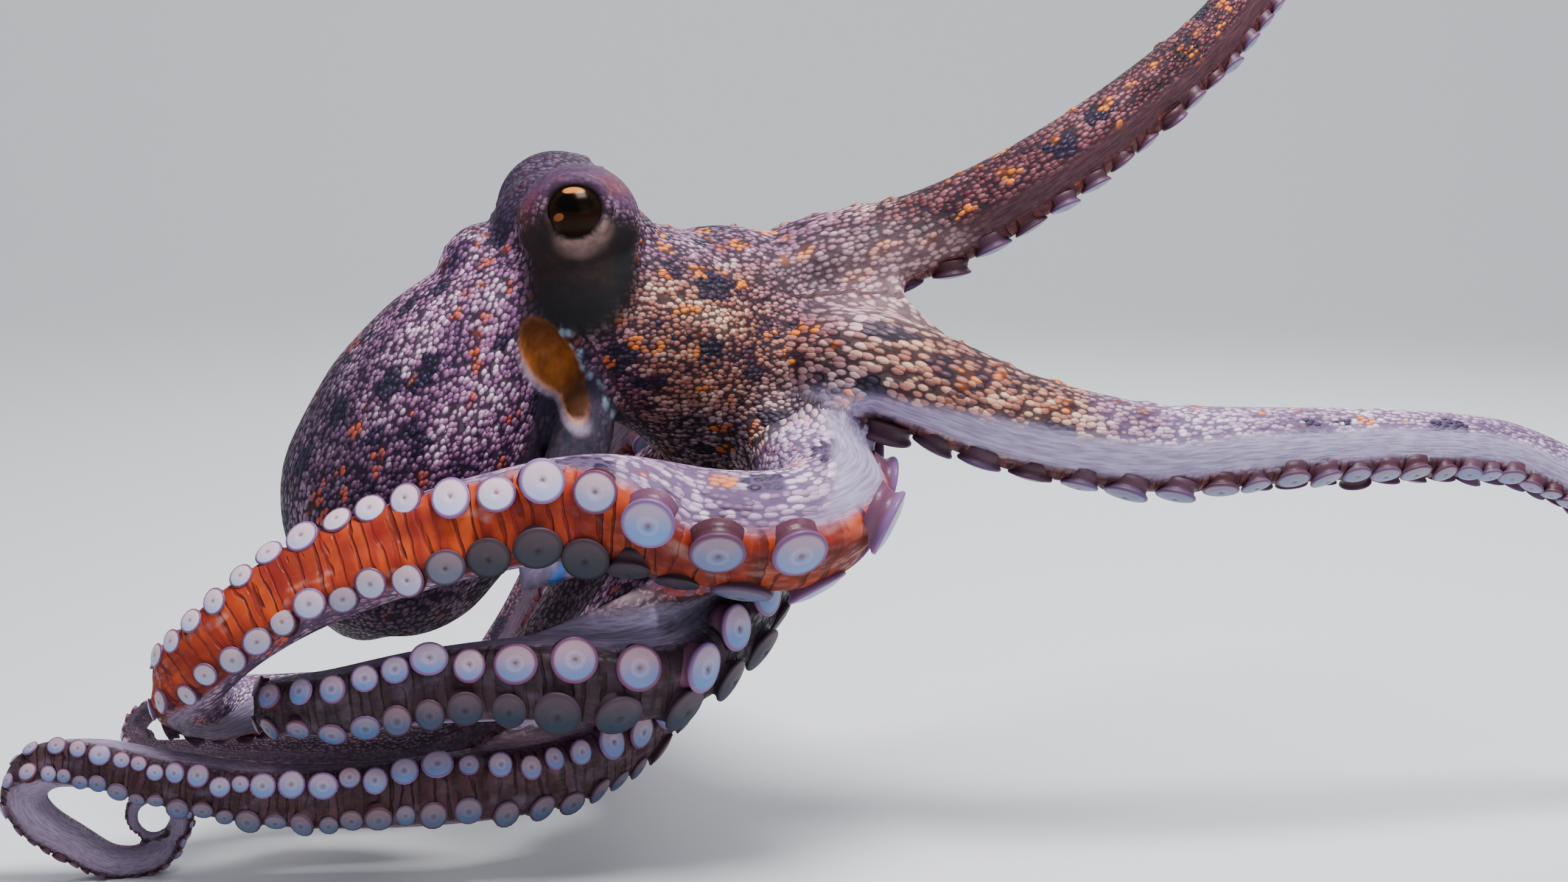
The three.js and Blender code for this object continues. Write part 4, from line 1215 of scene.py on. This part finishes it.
class Nodes:
    """Adds nodes to a tree.  A value sets a socket, and another socket feeds it."""

    def __init__(self, tree):
        self.tree = tree

    def add(self, kind, feeds=None, **settings):
        node = self.tree.nodes.new("ShaderNode" + kind)
        for key, value in settings.items():
            setattr(node, key, value)
        for key, value in (feeds or {}).items():
            if isinstance(value, bpy.types.NodeSocket):
                self.tree.links.new(value, node.inputs[key])
            else:
                node.inputs[key].default_value = value
        return node

    def value(self, name):
        """A number kept on the mesh's points."""
        return self.add("Attribute", attribute_name=name).outputs["Fac"]

    def calc(self, operation, *values, clamp=False):
        return self.add("Math", dict(enumerate(values)), operation=operation,
                        use_clamp=clamp).outputs[0]

    def rise(self, value, start, end, low=0.0, high=1.0):
        """A smooth rise from low to high as the value goes from start to end."""
        return self.add("MapRange", {0: value, 1: start, 2: end, 3: low, 4: high},
                        interpolation_type="SMOOTHSTEP").outputs[0]

    def mix(self, share, first, second, how="MIX"):
        """A colour between two."""
        first, second = ((*c, 1) if isinstance(c, tuple) and len(c) == 3 else c
                         for c in (first, second))
        return self.add("Mix", {0: share, 6: first, 7: second}, data_type="RGBA",
                        blend_type=how).outputs[2]

    def mix_values(self, share, first, second):
        return self.add("Mix", {0: share, 2: first, 3: second}).outputs[0]

    def mix_places(self, share, first, second):
        return self.add("Mix", {0: share, 4: first, 5: second},
                        data_type="VECTOR").outputs[1]

    def noise(self, place, size, detail=2.0, rough=0.5, out="Fac"):
        """Cloudy variation about `size` across."""
        return self.add("TexNoise", {"Vector": place, "Scale": 1 / size, "Detail": detail,
                                     "Roughness": rough}).outputs[out]

    def moved(self, place, by, scale=(1, 1, 1)):
        return self.add("Mapping", {"Vector": place, "Location": by,
                                    "Scale": scale}).outputs[0]

    def group(self, group, **feeds):
        node = self.tree.nodes.new("ShaderNodeGroup")
        node.node_tree = group
        for key, value in feeds.items():
            if isinstance(value, bpy.types.NodeSocket):
                self.tree.links.new(value, node.inputs[key])
            else:
                node.inputs[key].default_value = value
        return node.outputs


def new_group(name, inputs, outputs):
    """An empty node group with these sockets, its nodes, and its two ends."""
    tree = bpy.data.node_groups.new(name, "ShaderNodeTree")
    for way, sockets in (("INPUT", inputs), ("OUTPUT", outputs)):
        for socket, kind in sockets.items():
            tree.interface.new_socket(name=socket, in_out=way, socket_type="NodeSocket" + kind)
    start = tree.nodes.new("NodeGroupInput")
    end = tree.nodes.new("NodeGroupOutput")
    return tree, Nodes(tree), start.outputs, end.inputs


def cobbles_group():
    """Close-set grains: how high each stands, its chance value and its middle."""
    tree, nodes, start, end = new_group(
        "cobbles", {"Place": "Vector", "Size": "Float"},
        {"Height": "Float", "Chance": "Float", "Middle": "Vector"})
    cells = nodes.add("TexVoronoi", {
        "Vector": start["Place"], "Scale": nodes.calc("DIVIDE", 1.0, start["Size"]),
        "Randomness": 0.82}).outputs
    height = nodes.rise(cells["Distance"], 0.2, 0.68, 1.0, 0.0)
    chance = nodes.add("SeparateColor", {0: cells["Color"]}).outputs[0]
    for socket, value in (("Height", height), ("Chance", chance),
                          ("Middle", cells["Position"])):
        tree.links.new(value, end[socket])
    return tree


def spots_group():
    """Scattered round spots: 1 inside, by spacing, radius and the share that show."""
    tree, nodes, start, end = new_group(
        "spots", {"Place": "Vector", "Spacing": "Float", "Radius": "Float",
                  "Share": "Float"}, {"Spot": "Float"})
    cells = nodes.add("TexVoronoi", {
        "Vector": start["Place"],
        "Scale": nodes.calc("DIVIDE", 1.0, start["Spacing"])}).outputs
    chance = nodes.add("SeparateColor", {0: cells["Color"]}).outputs
    radius = nodes.calc("MULTIPLY", start["Radius"],
                        nodes.rise(chance[1], 0, 1, 0.6, 1.3))
    inside_spot = nodes.calc("LESS_THAN", cells["Distance"], radius)
    shown = nodes.calc("LESS_THAN", chance[0], start["Share"])
    tree.links.new(nodes.calc("MULTIPLY", inside_spot, shown), end["Spot"])
    return tree


cobbles = cobbles_group()
spots = spots_group()


def new_finish(name):
    """A material, its nodes and its shader."""
    made = bpy.data.materials.new(name)
    made.use_nodes = True
    return made, Nodes(made.node_tree), made.node_tree.nodes["Principled BSDF"].inputs


def skin_finish():
    """Wet octopus skin: cobbled backs, folded undersides and smooth, tinted places."""
    made, nodes, shader = new_finish("octopus skin")
    link = made.node_tree.links.new
    body_place = nodes.add("Attribute", attribute_name="body_place").outputs["Vector"]
    arm_place = nodes.add("Attribute", attribute_name="arm_place").outputs["Vector"]
    on_arm, under = nodes.value("on_arm"), nodes.value("under")
    flush, pale, warm = nodes.value("flush"), nodes.value("pale"), nodes.value("warm")
    side, smooth = nodes.value("side_of_arm"), nodes.value("smooth")
    cloud = nodes.noise(body_place, 9.0)

    body_grains = nodes.group(cobbles, Place=body_place, Size=1.55)
    arm_grains = nodes.group(cobbles, Place=arm_place, Size=1.35)
    arm_side = nodes.calc("GREATER_THAN", nodes.calc(
        "ADD", on_arm, nodes.calc("MULTIPLY_ADD", cloud, 0.5, -0.25)), 0.5)
    height = nodes.mix_values(arm_side, body_grains["Height"], arm_grains["Height"])
    chance = nodes.mix_values(arm_side, body_grains["Chance"], arm_grains["Chance"])
    middle = nodes.mix_places(arm_side, body_grains["Middle"], arm_grains["Middle"])

    patches = nodes.noise(middle, 13.0, 3.0)
    tone = nodes.calc("ADD", nodes.calc("MULTIPLY", chance, 0.55),
                      nodes.calc("MULTIPLY_ADD", patches, 1.8, -0.72), clamp=True)

    def grain_colours(dark, low, light):
        return nodes.mix(nodes.rise(tone, 0.45, 1.0),
                         nodes.mix(nodes.rise(tone, 0.0, 0.55), dark, low), light)

    mantle_colour = nodes.mix(
        nodes.value("bright"),
        grain_colours((0.026, 0.012, 0.034), (0.12, 0.055, 0.115), (0.34, 0.19, 0.31)),
        grain_colours((0.075, 0.030, 0.095), (0.38, 0.155, 0.32), (0.95, 0.64, 0.86)))
    warm_crown = grain_colours((0.045, 0.022, 0.045), (0.46, 0.17, 0.11), (0.96, 0.62, 0.44))
    mauve_crown = grain_colours((0.045, 0.020, 0.05), (0.26, 0.11, 0.20), (0.66, 0.42, 0.58))
    cream_crown = grain_colours((0.07, 0.04, 0.07), (0.55, 0.38, 0.44), (1.0, 0.86, 0.86))
    crown_colour = nodes.mix(nodes.value("mauve"), nodes.mix(
        nodes.value("cream"), warm_crown, cream_crown), mauve_crown)
    arm_colour = grain_colours((0.20, 0.11, 0.21), (0.54, 0.36, 0.57), (0.95, 0.84, 1.0))
    dark_arm = grain_colours((0.026, 0.007, 0.011), (0.125, 0.030, 0.040), (0.34, 0.12, 0.145))
    colour = nodes.mix(warm, mantle_colour, crown_colour)
    own = nodes.rise(nodes.calc("MULTIPLY_ADD", nodes.noise(middle, 11.0), 0.5, nodes.calc(
        "SUBTRACT", nodes.value("arm_colours"), 0.25)), 0.2, 0.8)
    colour = nodes.mix(own, colour, nodes.mix(pale, dark_arm, arm_colour))

    small_navy = nodes.group(spots, Place=nodes.moved(middle, (41, 13, 5)), Spacing=11.0,
                             Radius=0.36, Share=0.5)["Spot"]
    orange = nodes.group(spots, Place=nodes.moved(middle, (7, 3, 1)), Spacing=7.5,
                         Radius=0.29, Share=0.6)["Spot"]
    colour = nodes.mix(nodes.calc("MULTIPLY", small_navy, 0.92), colour,
                       (0.010, 0.009, 0.035))
    spot_colour = nodes.mix(warm, (0.56, 0.10, 0.05), (0.90, 0.23, 0.02))
    orange = nodes.calc("MULTIPLY", orange, nodes.value("spotted"))
    colour = nodes.mix(nodes.calc("MULTIPLY", orange, nodes.rise(chance, 0, 1, 0.55, 1.0)),
                       colour, spot_colour)
    gap = nodes.mix(warm, (0.006, 0.003, 0.013), (0.008, 0.005, 0.014))
    gap = nodes.mix(nodes.calc("MULTIPLY", pale, own), gap, (0.13, 0.075, 0.17))
    colour = nodes.mix(nodes.rise(height, 0.38, 0.0, 0.0, 0.9), colour, gap)

    # the smooth side of an arm, with fine streaks along it
    streaks = nodes.noise(nodes.moved(arm_place, (0, 0, 0), (0.3, 1.7, 1.7)), 1.1, 3.0)
    side_colour = nodes.mix(nodes.rise(streaks, 0.25, 0.75),
                            nodes.mix(pale, (0.045, 0.016, 0.024), (0.27, 0.21, 0.34)),
                            nodes.mix(pale, (0.105, 0.042, 0.055), (0.48, 0.43, 0.64)))
    colour = nodes.mix(side, colour, side_colour)

    # between the suckers: folds across the arm
    fold_place = nodes.moved(arm_place, (0, 0, 0), (1.0, 0.10, 0.16))
    wander = nodes.noise(fold_place, 2.4, 2.0)
    along = nodes.add("SeparateXYZ", {0: arm_place}).outputs[0]
    wave = nodes.calc("SINE", nodes.calc(
        "ADD", nodes.calc("MULTIPLY", along, 2 * math.pi / FOLD_SPACING),
        nodes.calc("MULTIPLY", wander, 14.0)))
    folds = nodes.calc("SUBTRACT", 1.0, nodes.rise(wave, 0.35, 1.0))
    folds = nodes.mix_values(nodes.rise(wander, 0.35, 0.65, 0.25, 1.0), 1.0, folds)
    blush = nodes.noise(arm_place, 6.0, 2.0)
    red = nodes.mix(folds, (0.10, 0.006, 0.004), nodes.mix(
        nodes.rise(wander, 0.3, 0.7), (0.30, 0.018, 0.010), (0.60, 0.075, 0.008)))
    red = nodes.mix(nodes.rise(blush, 0.58, 0.75, 0, 0.55), red, (0.62, 0.34, 0.3))
    ember = nodes.noise(arm_place, 12.0, 2.0)
    red = nodes.mix(nodes.rise(ember, 0.60, 0.36, 0.0, 0.65), red, (0.17, 0.012, 0.010))
    # the dark underside of the other arms: partly its own dark grey, partly painted shade
    grey = nodes.mix(folds, (0.008, 0.003, 0.005), nodes.mix(
        nodes.rise(wander, 0.3, 0.7), (0.016, 0.009, 0.014), (0.034, 0.023, 0.034)))
    grey = nodes.mix(nodes.rise(blush, 0.5, 0.75, 0, 0.5), grey, (0.085, 0.070, 0.110))
    colour = nodes.mix(under, colour, nodes.mix(flush, grey, red))

    tinted = nodes.add("Attribute", attribute_name="tint").outputs
    mottle = nodes.rise(nodes.noise(body_place, 3.0, 3.0), 0.3, 0.7, 0.75, 1.25)
    grained = nodes.mix_values(smooth, nodes.rise(height, 0.0, 0.8, 0.3, 1.05), 1.0)
    mottle = nodes.calc("MULTIPLY", mottle, grained)
    tint_colour = nodes.mix(1.0, tinted["Color"], nodes.add(
        "CombineColor", {0: mottle, 1: mottle, 2: mottle}).outputs[0], "MULTIPLY")
    colour = nodes.mix(tinted["Alpha"], colour, tint_colour)
    link(colour, shader["Base Color"])

    bare = nodes.calc("MAXIMUM", smooth, nodes.calc("MAXIMUM", under, side))
    relief = nodes.calc("MULTIPLY", height, nodes.calc("SUBTRACT", 1.0, bare, clamp=True))
    relief = nodes.calc("ADD", relief, nodes.calc(
        "MULTIPLY", nodes.calc("MULTIPLY", folds, under), 1.2))
    relief = nodes.calc("ADD", relief, nodes.calc(
        "MULTIPLY", nodes.calc("MULTIPLY", streaks, side), 0.35))
    bump = nodes.add("Bump", {"Height": relief, "Distance": 0.0006, "Strength": 1.0})
    link(bump.outputs[0], shader["Normal"])
    link(nodes.mix_values(smooth, nodes.rise(height, 0.0, 1.0, 0.75, 0.42), 0.72),
         shader["Roughness"])
    shader["Specular IOR Level"].default_value = 0.26
    return made


def sucker_finish():
    """A pale disc with a brown middle, a purple rim and a red-brown wall, with painted light:
    brownish-pink above, bluish below, a painted highlight ring, and painted shade on suckers
    in the shade.
    """
    made, nodes, shader = new_finish("octopus sucker")
    link = made.node_tree.links.new
    disc, shade = nodes.value("disc"), nodes.value("shade")
    place = nodes.add("TexCoord").outputs["Object"]
    cloud = nodes.noise(place, 0.004, 2.0)
    low = nodes.calc("ADD", nodes.value("low"), nodes.calc(
        "MULTIPLY_ADD", cloud, 0.6, -0.3))
    milk, painted_shade = nodes.value("milk"), nodes.value("painted_shade")
    # painted light: brownish-pink on the upper half of each disc, bluish on the lower half
    above = nodes.mix(shade, (0.42, 0.26, 0.31), (0.40, 0.32, 0.46))
    above = nodes.mix(milk, above, (0.72, 0.52, 0.60))
    below = nodes.mix(shade, (0.17, 0.21, 0.42), (0.09, 0.23, 0.52))
    below = nodes.mix(milk, below, (0.52, 0.54, 0.80))
    face = nodes.mix(nodes.rise(low, -0.6, 0.55), above, below)
    # a painted highlight ring on the disc's face
    ring = nodes.calc("MULTIPLY", nodes.rise(disc, 0.2, 0.3), nodes.rise(disc, 0.42, 0.32))
    face = nodes.mix(nodes.calc("MULTIPLY", ring, 0.2), face, (0.62, 0.56, 0.62))
    face = nodes.mix(nodes.rise(disc, 0.24, 0.04, 0.0, 0.7), face, (0.20, 0.10, 0.09))
    rim = nodes.mix(shade, (0.14, 0.04, 0.09), (0.22, 0.12, 0.30))
    colour = nodes.mix(nodes.rise(disc, 0.74, 0.88), face, rim)
    wall = nodes.mix(shade, (0.08, 0.018, 0.025), (0.15, 0.06, 0.11))
    colour = nodes.mix(nodes.rise(disc, 1.1, 1.5), colour, wall)
    # painted shade over shaded suckers, darker towards the bottom of each disc
    shaded = nodes.mix(nodes.rise(low, -0.8, 0.6), (0.050, 0.030, 0.038),
                       (0.006, 0.008, 0.010))
    colour = nodes.mix(painted_shade, colour, shaded)
    link(colour, shader["Base Color"])
    fine = nodes.noise(place, 0.0012, 3.0)
    bump = nodes.add("Bump", {"Height": fine, "Distance": 0.0002, "Strength": 0.6})
    link(bump.outputs[0], shader["Normal"])
    link(nodes.rise(painted_shade, 0.0, 1.0, 0.3, 0.55), shader["Roughness"])
    shader["Subsurface Weight"].default_value = 0.15
    shader["Subsurface Radius"].default_value = (1.0, 0.5, 0.4)
    shader["Subsurface Scale"].default_value = 0.0015
    shader["Specular IOR Level"].default_value = 0.22
    return made


def eye_finish():
    """A black pupil in a dark brown iris, with amber above and below that is partly the iris's
    colour and partly a painted glint.
    """
    made, nodes, shader = new_finish("octopus eye")
    link = made.node_tree.links.new
    gaze = nodes.add("Attribute", attribute_name="gaze").outputs["Vector"]
    across, up, _ = nodes.add("SeparateXYZ", {0: gaze}).outputs
    fibres = nodes.noise(nodes.moved(gaze, (0, 0, 0), (1, 6, 1)), 0.12, 3.0)
    iris = nodes.mix(fibres, (0.003, 0.0015, 0.001), (0.016, 0.006, 0.003))

    def patch(x, y, wide, tall):
        far = nodes.calc("ADD",
                         nodes.calc("POWER", nodes.calc("DIVIDE", nodes.calc(
                             "SUBTRACT", across, x), wide), 2.0),
                         nodes.calc("POWER", nodes.calc("DIVIDE", nodes.calc(
                             "SUBTRACT", up, y), tall), 2.0))
        return nodes.rise(far, 1.15, 0.55)

    # amber above and below the pupil: partly the iris's own colour, partly a painted glint
    colour = nodes.mix(nodes.calc("MULTIPLY", patch(-0.02, 0.45, 0.35, 0.14), nodes.rise(
        fibres, 0.3, 0.7, 0.6, 1.0)), iris, (0.75, 0.26, 0.06))
    colour = nodes.mix(nodes.calc("MULTIPLY", patch(-0.46, -0.36, 0.17, 0.12), 0.6),
                       colour, (0.40, 0.12, 0.04))
    colour = nodes.mix(patch(0.0, 0.06, 0.62, 0.34), colour, (0.001, 0.001, 0.001))
    round_eye = nodes.calc("POWER", nodes.calc("ADD", nodes.calc("POWER", across, 2.0),
                                               nodes.calc("POWER", up, 2.0)), 0.5)
    glint = nodes.calc("MULTIPLY", nodes.rise(round_eye, 0.86, 0.93), nodes.rise(
        nodes.calc("SUBTRACT", across, up), 0.75, 1.15))
    colour = nodes.mix(glint, colour, (0.22, 0.36, 0.44))
    link(colour, shader["Base Color"])
    shader["Roughness"].default_value = 0.2
    shader["Specular IOR Level"].default_value = 0.11
    shader["Specular Tint"].default_value = (1.0, 0.72, 0.5, 1)
    return made


skin.data.materials.clear()
skin.data.materials.append(skin_finish())
eye_skin = eye_finish()
for eyeball in eyes.values():
    eyeball.data.materials.append(eye_skin)
sucker_skin = sucker_finish()
for piece in suckers:
    piece.data.materials.append(sucker_skin)

# ------------------------------------------------------------------ what stands for what

flesh = [name for name in frame["nodes"] if not name.startswith("eye_")]
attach(skin, "root")
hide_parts(*flesh)
for side, piece in eyes.items():
    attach(piece, "root")
    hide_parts("eye_" + side)

for piece in suckers:
    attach(piece, "root")

# ------------------------------------------------------------------ stage

FLOOR_RADIUS = 1.9                  # in metres, and of the bend where it turns up
BEND_RADIUS = 1.6
WALL_HEIGHT = 2
CAMERA_PLACE = (0, -900, 259)
CAMERA_TILT = 82                    # degrees up from looking straight down
CAMERA_LENS = 62.89
SENSOR_WIDTH = 36

bpy.ops.mesh.primitive_circle_add(vertices=128, radius=FLOOR_RADIUS, fill_type="NGON")
floor = bpy.context.object
floor.name = "floor"
bpy.ops.object.mode_set(mode="EDIT")
bpy.ops.mesh.select_all(action="SELECT")
bpy.ops.mesh.region_to_loop()
radius, height = FLOOR_RADIUS, 0
for turn in np.radians(np.arange(5, 91, 5)):
    next_radius = FLOOR_RADIUS + BEND_RADIUS * math.sin(turn)
    next_height = BEND_RADIUS * (1 - math.cos(turn))
    bpy.ops.mesh.extrude_edges_move(
        TRANSFORM_OT_translate={"value": (0, 0, next_height - height)})
    bpy.ops.transform.resize(value=(next_radius / radius, next_radius / radius, 1))
    radius, height = next_radius, next_height
bpy.ops.mesh.extrude_edges_move(TRANSFORM_OT_translate={"value": (0, 0, WALL_HEIGHT)})
bpy.ops.mesh.select_all(action="SELECT")
bpy.ops.mesh.normals_make_consistent(inside=True)
bpy.ops.object.mode_set(mode="OBJECT")
bpy.ops.object.shade_smooth()
floor.data.materials.append(plain("pale floor", (0.76, 0.77, 0.79), 0.8))

world = bpy.data.worlds.new("room")
bpy.context.scene.world = world
world.use_nodes = True
world.node_tree.nodes["Background"].inputs["Color"].default_value = (0.82, 0.88, 1.0, 1)
world.node_tree.nodes["Background"].inputs["Strength"].default_value = 0.38

for name, place, size, power in (
    ("lamp_above", (0.12, -0.32, 1.2), 0.5, 25),
    ("lamp_front", (0.7, -1.2, 0.7), 0.9, 2),
    ("lamp_behind", (0.3, 0.9, 0.9), 0.8, 8),
    ("lamp_wall", (0, 1.3, 2.2), 1.5, 30),
):
    light = bpy.data.lights.new(name, "AREA")
    light.size = size
    light.energy = power
    lamp = bpy.data.objects.new(name, light)
    lamp.location = place
    aim = Vector((0, 3.4, 0.8)) if name == "lamp_wall" else Vector((-0.05, 0, 0.12))
    lamp.rotation_euler = (aim - Vector(place)).to_track_quat("-Z", "Y").to_euler()
    bpy.context.scene.collection.objects.link(lamp)

view = bpy.data.cameras.new("camera")
view.lens = CAMERA_LENS
view.sensor_width = SENSOR_WIDTH
camera = bpy.data.objects.new("camera", view)
camera.location = placed(CAMERA_PLACE)
camera.rotation_euler = (math.radians(CAMERA_TILT), 0, 0)
bpy.context.scene.collection.objects.link(camera)
bpy.context.scene.camera = camera
